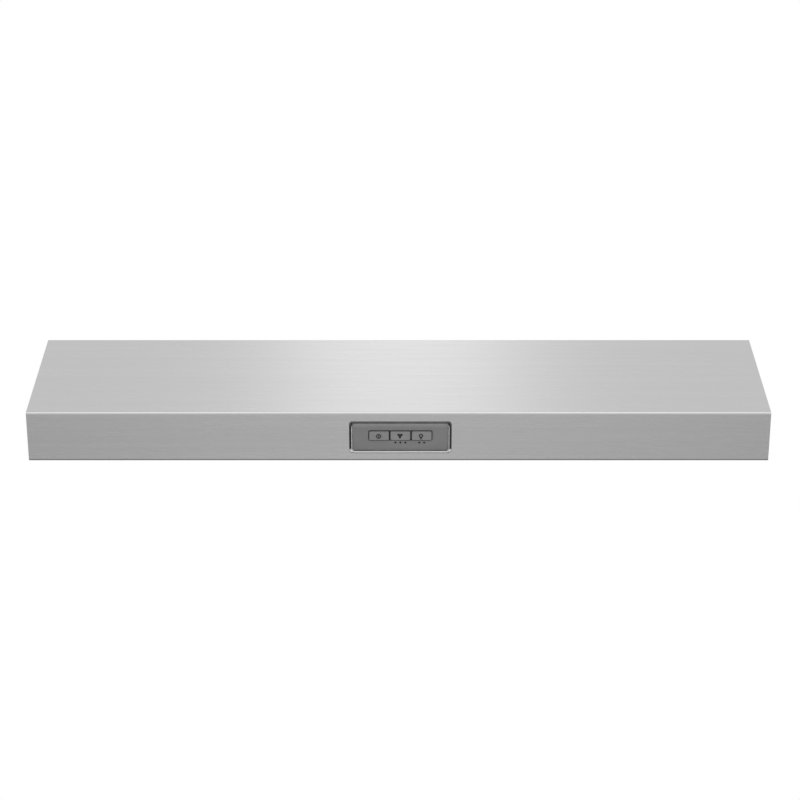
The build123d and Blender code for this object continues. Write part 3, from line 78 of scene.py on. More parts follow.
def fill(owner, socket, value):
    """Links a socket to another one, or sets it to a plain value."""
    if isinstance(value, bpy.types.NodeSocket):
        owner.node_tree.links.new(value, socket)
    else:
        socket.default_value = value


def add(owner, kind, settings=None, **inputs):
    """One node of a material or world: settings are its own properties, inputs are filled by name."""
    item = owner.node_tree.nodes.new(kind)
    for key, value in (settings or {}).items():
        setattr(item, key, value)
    for key, value in inputs.items():
        fill(owner, item.inputs[key.replace("_", " ")], value)
    return item


def work_out(owner, kind, operation, *values):
    """A node that works out a number or a vector from values, which fill its inputs in order."""
    item = add(owner, kind, {"operation": operation})
    for socket, value in zip(item.inputs, values):
        fill(owner, socket, value)
    return item


def larger(owner, one, other):
    """The larger of two numbers."""
    return work_out(owner, "ShaderNodeMath", "MAXIMUM", one, other).outputs["Value"]


def mix_shaders(owner, factor, first, second):
    """Shader that goes from the first to the second as a factor goes from 0 to 1."""
    item = add(owner, "ShaderNodeMixShader", Fac=factor)
    fill(owner, item.inputs[1], first)
    fill(owner, item.inputs[2], second)
    return item.outputs["Shader"]


def finish(name, colour, metallic, roughness, **constants):
    """A material whose even values sit on the shader's own sockets."""
    material = bpy.data.materials.new(name)
    material.use_nodes = True
    sockets = material.node_tree.nodes["Principled BSDF"].inputs
    sockets["Base Color"].default_value = (*colour, 1.0)
    sockets["Metallic"].default_value = metallic
    sockets["Roughness"].default_value = roughness
    for key, value in constants.items():
        sockets[key.replace("_", " ")].default_value = value
    return material


def feed(material, socket, source):
    """Links a pattern to a socket of the material's shader."""
    fill(material, material.node_tree.nodes["Principled BSDF"].inputs[socket], source)


def here(material):
    """Object coordinates, in metres."""
    return add(material, "ShaderNodeTexCoord").outputs["Object"]


def coordinate(material, axis):
    """One of the object coordinates, in metres."""
    return add(material, "ShaderNodeSeparateXYZ", Vector=here(material)).outputs[axis]


def place(material, waves):
    """Object coordinates stretched for a pattern, in waves per metre for each axis."""
    return add(material, "ShaderNodeMapping", Vector=here(material), Scale=waves).outputs["Vector"]


def noise(material, waves, detail=2.0):
    """Soft noise on object coordinates, in waves per metre for each axis."""
    vector = place(material, waves)
    return add(material, "ShaderNodeTexNoise", Vector=vector, Scale=1.0, Detail=detail).outputs["Fac"]


def blend(material, factor, dark, light, start=0.3, end=0.7):
    """Colour that goes from dark to light as a pattern goes from start to end."""
    ramp = add(material, "ShaderNodeValToRGB", Fac=factor)
    for stop, at, colour in zip(ramp.color_ramp.elements, (start, end), (dark, light)):
        stop.position = at
        stop.color = (*colour, 1.0)
    return ramp.outputs["Color"]


def rise(material, value, start, end, low=0.0, high=1.0, smooth=False):
    """Number that goes from low to high as a value goes from start to end, in a line or an S curve."""
    settings = {"interpolation_type": "SMOOTHSTEP" if smooth else "LINEAR"}
    inputs = {"Value": value, "From_Min": start, "From_Max": end, "To_Min": low, "To_Max": high}
    return add(material, "ShaderNodeMapRange", settings, **inputs).outputs["Result"]


def span(material, factor, low, high):
    """Number that goes from low to high over the middle half of a pattern."""
    return rise(material, factor, 0.25, 0.75, low, high)


def relief(material, height, strength, distance):
    """Fine relief from a height pattern, its distance in metres."""
    inputs = {"Height": height, "Strength": strength, "Distance": distance}
    return add(material, "ShaderNodeBump", **inputs).outputs["Normal"]


def scale_colour(material, factor):
    """Multiplies the material's colour pattern by a number pattern."""
    base = material.node_tree.nodes["Principled BSDF"].inputs["Base Color"].links[0].from_socket
    settings = {"operation": "SCALE"}
    tone = add(material, "ShaderNodeVectorMath", settings, Vector=base, Scale=factor)
    feed(material, "Base Color", tone.outputs["Vector"])


def shades(colour, change):
    """A colour a little darker and a little lighter."""
    return [c * (1 - change) for c in colour], [min(c * (1 + change), 1.0) for c in colour]


def grey(level):
    """A colour without a hue."""
    return (level,) * 3


def even(waves):
    """The same number of waves per metre on each axis."""
    return (waves,) * 3


# Finishes

METAL = 1.0
NO_METAL = 0.0
ALONG_X = 0
ALONG_Y = 1
BROAD_GRAIN = (260.0, 1.5)  # waves per metre across and along the brushing
FINE_GRAIN = (2600.0, 9.0)
# Painted shade along the lip's lower fold: share of the colour left there
FOLD_PAINTED_SHADE = 0.6
FOLD_SHADE_HEIGHTS = (-0.1262, -0.1252)  # metres between which the painted shade on the lower fold ends upwards
FOLD_SHADE_DEPTHS = (-0.3035, -0.3022)  # and backwards
CHIP_HEIGHTS = (-0.0864, -0.0858)  # metres between the light chips and the board's face
BOARD_WHITE = (0.85, 0.85, 0.82)
CHIP_YELLOW = (0.85, 0.55, 0.08)
BOARD_GREEN = (0.03, 0.16, 0.07)
MASK_GREEN = (0.025, 0.14, 0.06)
TRACK_GREEN = (0.07, 0.28, 0.12)


def drawn_out(grain, axis):
    """Waves per metre for each axis of a grain that runs along one of them."""
    across, along = grain
    return [along if number == axis else across for number in range(3)]


def brushed(name, colour, roughness, axis, contrast=0.018):
    """Brushed sheet: noise drawn out along the grain, broad for tone, fine for roughness and scratches."""
    material = finish(name, colour, METAL, roughness)
    tone = noise(material, drawn_out(BROAD_GRAIN, axis), 4.0)
    scratch = noise(material, drawn_out(FINE_GRAIN, axis), 3.0)
    feed(material, "Base Color", blend(material, tone, *shades(colour, contrast)))
    feed(material, "Roughness", span(material, scratch, roughness - 0.05, roughness + 0.06))
    feed(material, "Normal", relief(material, scratch, strength=0.12, distance=0.00004))
    return material


def paint_shade_on_lower_fold(material):
    """Painted shade on the lip's lower fold: the colour sinks where a point is both low and forward of the
    return.
    """
    above = rise(material, coordinate(material, "Z"), *FOLD_SHADE_HEIGHTS, low=FOLD_PAINTED_SHADE)
    behind = rise(material, coordinate(material, "Y"), *FOLD_SHADE_DEPTHS)
    scale_colour(material, larger(material, above, behind))


def paint_light_upwards(material, heights, tones):
    """Painted light: lets the colour rise smoothly from one tone to another between two heights, in metres.
    """
    scale_colour(material, rise(material, coordinate(material, "Z"), *heights, *tones, smooth=True))


def galvanised(name, colour):
    """Zinc coat: crystal cells, each with its own tone and gloss, over a faint mill grain."""
    material = finish(name, colour, METAL, 0.4)
    inputs = {"Vector": place(material, even(190.0)), "Scale": 1.0, "Randomness": 1.0}
    cells = add(material, "ShaderNodeTexVoronoi", **inputs).outputs["Color"]
    cell = add(material, "ShaderNodeSeparateColor", Color=cells).outputs["Red"]
    mill = noise(material, even(900.0), 4.0)
    feed(material, "Base Color", blend(material, cell, *shades(colour, 0.055), 0.0, 1.0))
    feed(material, "Roughness", span(material, cell, 0.36, 0.46))
    feed(material, "Normal", relief(material, mill, strength=0.08, distance=0.0001))
    return material


def mottled(name, colour, metallic, roughness, grain, depth, **constants):
    """Cast, moulded or plated skin: slow changes of tone over a fine even grain."""
    material = finish(name, colour, metallic, roughness, **constants)
    tone = noise(material, even(40.0), 4.0)
    pores = noise(material, even(grain))
    feed(material, "Base Color", blend(material, tone, *shades(colour, 0.06)))
    feed(material, "Roughness", span(material, pores, roughness - 0.05, roughness + 0.07))
    feed(material, "Normal", relief(material, pores, strength=0.25, distance=depth))
    return material


def lamp_radius(material):
    """Distance from the axis of the nearer lamp, in metres: the sheet is folded over at its middle."""
    kind = "ShaderNodeVectorMath"
    lamp_axis = (LAMP_X * MM, -LAMP_Y * MM, 0.0)
    folded = work_out(material, kind, "ABSOLUTE", here(material)).outputs["Vector"]
    shifted = work_out(material, kind, "SUBTRACT", folded, lamp_axis).outputs["Vector"]
    level = work_out(material, kind, "MULTIPLY", shifted, (1.0, 1.0, 0.0)).outputs["Vector"]
    return work_out(material, kind, "LENGTH", level).outputs["Value"]


def spun(name, colour, roughness):
    """Turned metal round a lamp: noise that depends only on the radius and the height."""
    material = finish(name, colour, METAL, roughness)
    height = coordinate(material, "Z")
    circle = add(material, "ShaderNodeCombineXYZ", X=lamp_radius(material), Y=height).outputs["Vector"]
    lines = add(material, "ShaderNodeTexNoise", Vector=circle, Scale=2200.0, Detail=3.0).outputs["Fac"]
    feed(material, "Base Color", blend(material, lines, *shades(colour, 0.08)))
    feed(material, "Roughness", span(material, lines, roughness - 0.06, roughness + 0.08))
    feed(material, "Normal", relief(material, lines, strength=0.15, distance=0.00005))
    return material


def frosted_glass(name):
    """Pressed lens glass: clear body, etched face with a fine sandy grain."""
    colour = (0.93, 0.95, 0.94)
    material = finish(name, colour, NO_METAL, 0.16, Transmission_Weight=0.4, IOR=1.5)
    cloud = noise(material, even(60.0))
    sand = noise(material, even(2200.0))
    feed(material, "Base Color", blend(material, cloud, *shades(colour, 0.03)))
    feed(material, "Roughness", span(material, sand, 0.11, 0.22))
    feed(material, "Normal", relief(material, sand, strength=0.06, distance=0.0001))
    return material


def circuit(name):
    """Printed board: green mask over copper tracks, drawn as the borders of irregular cells."""
    material = finish(name, BOARD_GREEN, NO_METAL, 0.4)
    inputs = {"Vector": place(material, even(260.0)), "Scale": 1.0, "Randomness": 0.8}
    settings = {"feature": "DISTANCE_TO_EDGE"}
    edge = add(material, "ShaderNodeTexVoronoi", settings, **inputs).outputs["Distance"]
    gloss = noise(material, even(900.0))
    feed(material, "Base Color", blend(material, edge, TRACK_GREEN, MASK_GREEN, 0.04, 0.08))
    feed(material, "Roughness", span(material, gloss, 0.32, 0.48))
    feed(material, "Normal", relief(material, edge, strength=0.1, distance=0.0001))
    return material


def light_board(name):
    """White lamp board: the chips below its face are yellow, told apart by their height."""
    material = finish(name, BOARD_WHITE, NO_METAL, 0.5)
    face = rise(material, coordinate(material, "Z"), *CHIP_HEIGHTS)
    gloss = noise(material, even(1200.0))
    feed(material, "Base Color", blend(material, face, CHIP_YELLOW, BOARD_WHITE, 0.0, 1.0))
    feed(material, "Roughness", span(material, gloss, 0.42, 0.58))
    return material


# One finish for each material slot of the solids. After the name and the colour come, for a brushed
# sheet, roughness and grain axis; for a mottled skin, metallic, roughness, pores per metre and their depth.

FINISH = {
    "stainless": brushed("brushed_stainless", grey(0.5), 0.3, ALONG_X),
    "pan_steel": brushed("pan_stainless", grey(0.56), 0.32, ALONG_X),
    "trim_steel": brushed("trim_stainless", grey(0.76), 0.24, ALONG_X),
    "galvanised": galvanised("galvanised_sheet", (0.5, 0.52, 0.53)),
    "filter_frame": brushed("filter_channel", grey(0.62), 0.34, ALONG_X, contrast=0.03),
    "filter_mesh": mottled("filter_aluminium", grey(0.66), METAL, 0.3, 900.0, 0.0001),
    "latch_steel": brushed("latch_spring_steel", grey(0.56), 0.28, ALONG_X),
    "zinc_screw": mottled("zinc_plate", (0.58, 0.58, 0.55), METAL, 0.28, 1500.0, 0.00005),
    "lamp_can": spun("spun_lamp_can", grey(0.62), 0.34),
    "lamp_trim": spun("satin_lamp_ring", grey(0.6), 0.26),
    "lens_glass": frosted_glass("frosted_lens"),
    "lamp_board": light_board("lamp_board_white"),
    "panel_grey": mottled("panel_satin_grey", grey(0.22), NO_METAL, 0.42, 2600.0, 0.00006),
    "button_grey": mottled("button_satin_grey", grey(0.27), NO_METAL, 0.4, 2600.0, 0.00006),
    "light_pipe": mottled(
        "smoked_light_pipe", (0.02, 0.02, 0.022), NO_METAL, 0.3, 1800.0, 0.00003, Specular_IOR_Level=0.2
    ),
    "circuit_board": circuit("green_board"),
    "switch_black": mottled("black_moulding", grey(0.03), NO_METAL, 0.48, 1600.0, 0.0001),
    "wheel_metal": galvanised("wheel_sheet", (0.54, 0.55, 0.56)),
    "shaft_steel": mottled("ground_shaft", grey(0.6), METAL, 0.2, 1200.0, 0.00004),
    "motor_paint": mottled(
        "motor_black_paint", (0.05, 0.05, 0.055), NO_METAL, 0.38, 700.0, 0.0002, Coat_Weight=0.3
    ),
    "flap_metal": brushed("flap_sheet", (0.58, 0.59, 0.6), 0.32, ALONG_X),
    "capacitor_case": mottled("capacitor_white", (0.78, 0.78, 0.75), NO_METAL, 0.35, 1000.0, 0.00008),
    "lead_sheath": mottled("lead_black_sheath", grey(0.035), NO_METAL, 0.5, 1400.0, 0.0001),
    "clip_nylon": mottled("clip_natural_nylon", (0.6, 0.59, 0.54), NO_METAL, 0.45, 1200.0, 0.0001),
}
END_STEEL = brushed("brushed_stainless_end", grey(0.5), 0.3, ALONG_Y)
# Dark foam for the seals in the side gaps of the control cut-out; its darkness also stands as painted shade
# for those gaps.
SEAL_FOAM_AND_SHADE = mottled("seal_foam_and_painted_shade", grey(0.08), NO_METAL, 0.6, 1800.0, 0.0002)
SIDE_GRAIN = {"left_end_panel": END_STEEL, "right_end_panel": END_STEEL}

# Painted shade darkens the lip's lower fold.
paint_shade_on_lower_fold(FINISH["stainless"])
# Painted light: the control panel grows lighter towards its top and on the step above it, in place of light
# falling there.
paint_light_upwards(FINISH["panel_grey"], heights=(-0.0942, -0.0882), tones=(1.05, 1.7))
# Painted light: the seals grow lighter towards their upper ends.
paint_light_upwards(SEAL_FOAM_AND_SHADE, heights=(-0.0925, -0.0875), tones=(1.0, 3.0))

for entry in frame["record"]["subparts"]:
    node = entry["node"]
    skin = SIDE_GRAIN.get(node, FINISH[entry["material_slot"]])
    NODES[node].data.materials.clear()
    NODES[node].data.materials.append(skin)


# Surfaces, worked out in millimetres


def grid_faces(rows, columns):
    """Corner numbers of a grid's cells, row by row; the last column meets the first."""
    row = np.arange(rows - 1)[:, None] * columns
    column = np.arange(columns)[None, :]
    after = (column + 1) % columns
    above = row + columns
    return np.stack([row + column, row + after, above + after, above + column], axis=-1).reshape(-1, 4)


def capped(grids):
    """Closes tubes by one more row at both ends, drawn together to the middle of the end row."""
    first = np.broadcast_to(grids[:, :1].mean(axis=2, keepdims=True), grids[:, :1].shape)
    last = np.broadcast_to(grids[:, -1:].mean(axis=2, keepdims=True), grids[:, -1:].shape)
    return np.concatenate([first, grids, last], axis=1)


def on_lip(grids):
    """Points given along the lip's right, up and out, put into the frame."""
    return grids @ LIP_AXES + LIP_ORIGIN


def piece(name, grids, slot, body, smooth=None):
    """One object from grids of the shape (count, rows, columns around, 3), with its seams closed.

    Edges that bend by less than the angle smooth, in degrees, are shaded round.
    """
    count, rows, columns = grids.shape[:3]
    starts = np.arange(count)[:, None, None] * rows * columns
    faces = (grid_faces(rows, columns)[None] + starts).reshape(-1, 4)
    mesh = bpy.data.meshes.new(name)
    mesh.from_pydata((grids.reshape(-1, 3) * MM).tolist(), [], faces.tolist())
    merged = bmesh.new()
    merged.from_mesh(mesh)
    bmesh.ops.remove_doubles(merged, verts=merged.verts, dist=1e-6)
    bmesh.ops.recalc_face_normals(merged, faces=merged.faces)
    merged.to_mesh(mesh)
    merged.free()
    mesh.materials.append(FINISH[slot])
    shape = bpy.data.objects.new(name, mesh)
    bpy.context.scene.collection.objects.link(shape)
    if smooth is not None:
        mesh.shade_smooth()
        mesh.set_sharp_from_angle(angle=math.radians(smooth))
    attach(shape, body)
    return shape


# Filter meshes

STRAND_WIDTH = 1.2
STRAND_LIFT = 0.2
STRAND_TILT = math.radians(35)
MESH_LAYERS = {
    "under": {"level": -112.0, "long_way": 9.0, "short_way": 5.0, "sheet": 0.35},
    "core": {"level": -110.7, "long_way": 7.4, "short_way": 4.2, "sheet": 0.3},
    "over": {"level": -109.4, "long_way": 9.6, "short_way": 5.4, "sheet": 0.35},
}


def expanded_metal(centre_x, level, long_way, short_way, sheet):
    """Expanded sheet: strands along X that zigzag between their neighbours, every other one in step.

    A strand's point i of row j is half a long way further on, a quarter short way up or down by turns, and
    raised or lowered with it; a tilted rectangle, one strand by one sheet, is carried along it.
    """
    half = MESH_HALF_LENGTH
    x = np.linspace(centre_x - half, centre_x + half, int(round(4 * half / long_way)) + 1)
    margin = short_way / 4 + STRAND_WIDTH
    y = np.arange(MESH_FRONT + margin, MESH_BACK - margin, short_way / 2)
    turn = 1 - 2 * ((np.arange(len(y))[:, None] + np.arange(len(x))[None, :]) % 2)
    centre = np.stack([
        np.broadcast_to(x, turn.shape),
        y[:, None] + turn * short_way / 4,
        level + turn * STRAND_LIFT,
    ], axis=-1)
    corner = np.array([[-1, -1], [1, -1], [1, 1], [-1, 1]]) * [STRAND_WIDTH / 2, sheet / 2]
    across = corner[:, 0] * math.cos(STRAND_TILT) - corner[:, 1] * math.sin(STRAND_TILT)
    up = corner[:, 0] * math.sin(STRAND_TILT) + corner[:, 1] * math.cos(STRAND_TILT)
    section = np.stack([np.zeros(4), across, up], axis=-1)
    return capped(centre[:, :, None, :] + section)


for side, sign in SIDES.items():
    layers = {}
    for layer, sizes in MESH_LAYERS.items():
        strands = expanded_metal(sign * MESH_CENTRE_X, **sizes)
        name = f"{side}_filter_{layer}_mesh"
        layers[layer] = piece(name, strands, "filter_mesh", f"{side}_filter")
    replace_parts(layers["under"], f"{side}_filter_mesh")


# Lamp lenses

LENS_CHAMFER = 0.4
LENS_SHOULDER = 1.6  # height of the straight rim's lower end above the lowest level
LENS_STEP = 0.3
LENS_FACE = 27.2  # radius of the bulged face
LENS_FACE_RISE = 0.9  # of the face's edge, above the lowest level
LENS_BULGE = 0.75
LENS_RING_DEPTH = 0.2
LENS_RING_PITCH = 2.7
LENS_RING_FADE = 2.0  # width over which the rings fade out at the edge
LENS_ROWS = 62
LENS_COLUMNS = 96


def lens_profile():
    """Lens: flat back, straight rim, and a face that bulges by a parabola with pressed cosine rings."""
    r = np.linspace(LENS_FACE, 0, LENS_ROWS)
    bulge = LENS_BULGE * (1 - (r / LENS_FACE) ** 2)
    border = np.clip((LENS_FACE - r) / LENS_RING_FADE, 0, 1)
    rings = LENS_RING_DEPTH * np.cos(2 * np.pi * r / LENS_RING_PITCH) * border
    face = LENS_LOW + LENS_FACE_RISE - bulge - rings
    shoulder = LENS_LOW + LENS_SHOULDER
    back_and_rim = [
        (0, LENS_TOP),
        (LENS_RIM - LENS_CHAMFER, LENS_TOP),
        (LENS_RIM, LENS_TOP - LENS_CHAMFER),
        (LENS_RIM, shoulder),
        (LENS_RIM - LENS_STEP, shoulder - LENS_STEP),
    ]
    return np.concatenate([back_and_rim, np.stack([r, face], axis=-1)])


def turned(profile, x, y):
    """Profile of radius and height carried round an upright axis."""
    radius, height = profile.T[:, :, None]
    angle = np.linspace(0, 2 * np.pi, LENS_COLUMNS, endpoint=False)
    level = np.broadcast_to(height, (len(profile), LENS_COLUMNS))
    return np.stack([x + radius * np.cos(angle), y + radius * np.sin(angle), level], axis=-1)[None]


for side, sign in SIDES.items():
    glass = turned(lens_profile(), sign * LAMP_X, LAMP_Y)
    lens = piece(f"{side}_lamp_ringed_lens", glass, "lens_glass", "hood", smooth=35)
    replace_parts(lens, f"{side}_lamp_lens")


# Screws

SCREW_COLUMNS = 36
THREAD_ROWS = 13
THREAD_START = 0.3  # from the head
THREAD_END = 0.9  # share of the shank's length
THREAD_ROOT = 0.8  # shares of the shank's radius
SHANK_TIP = 0.5
DOME_ROWS = 14
DOME_RIM = 0.45  # share of the head's height
CROSS_ARM = 0.62  # shares of the head's radius
CROSS_HALF_WIDTH = 0.13
CROSS_SLOPE = 0.06
CROSS_DEPTH = 0.75  # share of the head's height
UP = (0, 0, 1)
DOWN = (0, 0, -1)
FORWARD = (0, -1, 0)


def within(distance, limit, slope):
    """1 well inside a limit, falling in a line to 0 at the limit over the width of a slope."""
    return np.clip((limit - abs(distance)) / slope, 0, 1)


def screw_form(head_radius, head_height, shank_radius, shank_length):
    """Pan-head screw along +Z with its head below 0.

    The profile runs from the tip along a rippled thread to the head's rim and over its dome, a quarter
    ellipse; a cross is pressed into the dome, its depth fading at the cross's edges.
    """
    ridges = np.linspace(shank_length * THREAD_END, THREAD_START, THREAD_ROWS)
    thread = shank_radius * np.where(np.arange(THREAD_ROWS) % 2, THREAD_ROOT, 1.0)
    lean = np.linspace(0, np.pi / 2, DOME_ROWS)
    dome_radius = head_radius * np.cos(lean)
    dome_height = -head_height * (DOME_RIM + (1 - DOME_RIM) * np.sin(lean))
    tip_radius = shank_radius * SHANK_TIP
    radius = np.concatenate([[0, tip_radius], thread, [shank_radius, head_radius], dome_radius])
    height = np.concatenate([[shank_length, shank_length], ridges, [0, 0], dome_height])
    angle = np.linspace(0, 2 * np.pi, SCREW_COLUMNS, endpoint=False)
    x = radius[:, None] * np.cos(angle)
    y = radius[:, None] * np.sin(angle)
    half_width, arm, slope = np.array([CROSS_HALF_WIDTH, CROSS_ARM, CROSS_SLOPE]) * head_radius
    lengthwise = within(x, half_width, slope) * within(y, arm, slope)
    crosswise = within(y, half_width, slope) * within(x, arm, slope)
    cross = np.maximum(lengthwise, crosswise)
    on_dome = (np.arange(len(radius)) >= len(radius) - DOME_ROWS)[:, None]
    pressed = cross * on_dome * CROSS_DEPTH * head_height
    return np.stack([x, y, height[:, None] + pressed], axis=-1)


def screws(name, node, spots, along, form):
    """One screw form at every spot, turned so that its shank points along a direction."""
    along = np.asarray(along, dtype=float)
    side = np.cross(along, [1.0, 0.0, 0.0])
    side /= np.linalg.norm(side)
    axes = np.stack([np.cross(side, along), side, along])
    grids = (form @ axes)[None] + np.asarray(spots, dtype=float)[:, None, None, :]
    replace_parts(piece(name, grids, "zinc_screw", "hood", smooth=40), node)


SHEET_SCREW = screw_form(head_radius=3.6, head_height=0.9, shank_radius=1.9, shank_length=4.6)
MOTOR_SCREW = screw_form(head_radius=3.6, head_height=0.9, shank_radius=1.9, shank_length=3.6)

pan_spots = [(x, y, -125.9) for x in (-371.8, 371.8) for y in (-243.1, -63.1, 116.9)]
screws("pan_cross_screws", "pan_screws", pan_spots, UP, SHEET_SCREW)
collar_spots = [(x, 174.0, z) for x in (-135.5, 135.5) for z in (-72.75, -33.25)]
screws("collar_cross_screws", "collar_screws", collar_spots, FORWARD, SHEET_SCREW)
wiring_spots = [(x, 172.9, -64.0) for x in (-318.0, -252.0)]
screws("wiring_cross_screws", "wiring_screws", wiring_spots, FORWARD, SHEET_SCREW)
blower_spots = [(x, y, -13.0) for x in (-181.0, 139.5) for y in (-140.0, 95.0)]
screws("blower_cross_screws", "blower_screws", blower_spots, UP, SHEET_SCREW)
motor_spots = [(-4.5, 0.0, -12.0), (-80.25, 43.73, -12.0), (-80.25, -43.73, -12.0)]
screws("motor_cross_screws", "motor_screws", motor_spots, DOWN, MOTOR_SCREW)


# Button symbols

BAND_LEVELS = np.array([-0.05, -0.05, 0.1, 0.1])  # foot and top of a ridge, from the button's face
RING_ROWS = 48
STROKE_ROWS = 25
STROKE_END = 0.02  # smallest inset of a rounded end, as a share of its half width
BLADE_ROOT = 0.3
BLADE_REACH = 2.9
BLADE_BEND = 0.35  # radians
BLADE_HALF_WIDTH = 1.35
BLADE_TIP = 0.05
BLADE_SKEW = 0.8  # power that moves the widest place inwards
SYMBOL_STEP = 0.015  # bands that cross each other differ in height
SYMBOL_SHIFT = {"power": (-0.5, -0.5), "fan": (-0.45, 0.4), "light": (-0.8, -0.6)}  # from the cap's middle


def raised_band(line, half_width, closed):
    """Low ridge on a plane: a line of points, a half width at each, and a rectangle carried along it."""
    if closed:
        ahead = np.roll(line, -1, axis=0) - np.roll(line, 1, axis=0)
    else:
        ahead = np.gradient(line, axis=0)
    ahead /= np.linalg.norm(ahead, axis=1, keepdims=True)
    across = np.stack([-ahead[:, 1], ahead[:, 0]], axis=-1) * half_width[:, None]
    sides = np.stack([line - across, line + across, line + across, line - across], axis=1)
    level = np.broadcast_to(BAND_LEVELS[None, :, None], (len(line), 4, 1))
    band = np.concatenate([sides, level], axis=-1)[None]
    if closed:
        return np.concatenate([band, band[:, :1]], axis=1)
    return capped(band)


def ring(radius, half_width, centre=(0.0, 0.0)):
    """Band round a circle."""
    angle = np.linspace(0, 2 * np.pi, RING_ROWS, endpoint=False)
    line = np.stack([np.cos(angle), np.sin(angle)], axis=-1) * radius + centre
    return raised_band(line, np.full(RING_ROWS, half_width), True)


def stroke(start, end, half_width):
    """Straight band whose ends are rounded by a circle's height."""
    t = (1 - np.cos(np.linspace(0, np.pi, STROKE_ROWS))) / 2
    line = np.asarray(start) + (np.asarray(end) - start) * t[:, None]
    reach = np.linalg.norm(np.asarray(end) - start) / 2
    inside = np.clip((reach - abs(t - 0.5) * 2 * reach) / half_width, STROKE_END, 1)
    return raised_band(line, half_width * np.sqrt(1 - (1 - inside) ** 2), False)


def blade(angle):
    """Fan blade: a bent line outwards from the hub, as wide as a half sine wave."""
    t = np.linspace(0, 1, STROKE_ROWS)
    turn = angle + BLADE_BEND * (t - 0.5)
    line = np.stack([np.cos(turn), np.sin(turn)], axis=-1) * (BLADE_ROOT + BLADE_REACH * t)[:, None]
    return raised_band(line, BLADE_TIP + BLADE_HALF_WIDTH * np.sin(np.pi * t ** BLADE_SKEW), False)


SYMBOLS = {
    "power": [ring(2.1, 0.5), stroke((0.0, -1.4), (0.0, 1.4), 0.48)],
    "fan": [blade(math.radians(a)) for a in (30, 150, 270)] + [ring(0.45, 0.4)],
    "light": [
        ring(1.65, 0.55, (0.0, 0.8)),
        stroke((-0.95, -1.5), (0.95, -1.5), 0.5),
        stroke((-0.9, -2.6), (0.9, -2.6), 0.5),
    ],
}
for index, (key, bands) in enumerate(SYMBOLS.items()):
    spot = np.array([CONTROL_X + (index - 1) * BUTTON_PITCH, BUTTON_ROW, BUTTON_FACE])
    for number, band in enumerate(bands):
        step = np.array([*SYMBOL_SHIFT[key], number * SYMBOL_STEP])
        ridge = on_lip(band + spot + step)
        piece(f"{key}_symbol_{number + 1}", ridge, "light_pipe", f"{key}_key", smooth=40)


# Seals and corner webs of the control cut-out

SEAL_X = 51.77  # from the middle of the control panel
SEAL_HALF_WIDTH = 1.5
SEAL_BACK = -5.08  # on the panel's ears
SEAL_HEIGHT = 1.9
SEAL_LOW = -14.3
SEAL_HIGH = 17.9
SEAL_ROWS = 9
SEAL_COLUMNS = 17
WEB_FRONT = -1.3  # below the face of the lip
WEB_BACK = -1.9
WEB_HIGH = -14.85
WEB_INNER = (47.15, -15.25, 3.1)  # arc round the rim's lower corner: middle and radius
WEB_OUTER = (48.95, -14.9, 3.4)  # arc inside the cut-out's lower corner
WEB_START = math.radians(-75)
WEB_ROWS = 16


def half_round_strip(x):
    """Strip up the lip: a half ellipse, flat side inwards, carried along a straight line and closed."""
    up = np.linspace(SEAL_LOW, SEAL_HIGH, SEAL_ROWS)
    along, angle = np.meshgrid(up, np.linspace(0, np.pi, SEAL_COLUMNS), indexing="ij")
    across = x + SEAL_HALF_WIDTH * np.cos(angle)
    level = SEAL_BACK + SEAL_HEIGHT * np.sin(angle)
    return capped(np.stack([across, along, level], axis=-1)[None])


def corner_web(sign):
    """Web in a lower corner of the cut-out: a flat band between two arcs, led straight up at its end."""
    turn = np.linspace(WEB_START, 0, WEB_ROWS)
    edges = []
    for x, y, radius in (WEB_INNER, WEB_OUTER):
        arc = np.stack([x + radius * np.cos(turn), y + radius * np.sin(turn)], axis=-1)
        edges.append(np.concatenate([arc, [[x + radius, WEB_HIGH]]]))
    corners = [(0, WEB_FRONT), (1, WEB_FRONT), (1, WEB_BACK), (0, WEB_BACK)]
    band = [np.insert(edges[edge], 2, level, axis=1) for edge, level in corners]
    return capped(np.stack(band, axis=1)[None] * [sign, 1, 1] + [CONTROL_X, 0, 0])


for side, sign in SIDES.items():
    piece(f"control_{side}_corner_web", on_lip(corner_web(sign)), "trim_steel", "hood", smooth=40)
    strip = on_lip(half_round_strip(CONTROL_X + sign * SEAL_X))
    seal = piece(f"control_{side}_seal", strip, "switch_black", "hood", smooth=40)
    # The seal's dark foam is partly painted shade for the gap it sits in.
    seal.data.materials[0] = SEAL_FOAM_AND_SHADE


# Studio, in metres

WHITE = (1.0, 1.0, 1.0, 1.0)
WHITE_LEVEL = 1.0  # strength of the world to the camera and in reflections
MATT_LEVEL = 0.73  # and on matt surfaces
FLOOR_LEVEL = -0.9
FLOOR_REACH = 3.2
FLOOR_BACK = 2.0
FLOOR_FADE = (1.3, 2.7)  # distances from the frame's origin
CAMERA_PLACE = (0.0015, -2.696, -0.065)
CAMERA_LENS = 104.65  # millimetres, as is the sensor
CAMERA_SENSOR = 36.0
LIP_AIM = (0.0, -0.3, -0.1)  # point that the front lamps face


def studio_world():
    """White to the camera and in reflections, a softer level of light on matt surfaces."""
    world = bpy.data.worlds.new("studio")
    bpy.context.scene.world = world
    world.use_nodes = True
    nodes = world.node_tree.nodes
    white = nodes["Background"]
    white.inputs["Color"].default_value = WHITE
    white.inputs["Strength"].default_value = WHITE_LEVEL
    soft = add(world, "ShaderNodeBackground", Color=WHITE, Strength=MATT_LEVEL)
    rays = add(world, "ShaderNodeLightPath").outputs
    seen = larger(world, rays["Is Camera Ray"], rays["Is Glossy Ray"])
    seen = larger(world, seen, rays["Is Transmission Ray"])
    shown = mix_shaders(world, seen, soft.outputs["Background"], white.outputs["Background"])
    fill(world, nodes["World Output"].inputs["Surface"], shown)


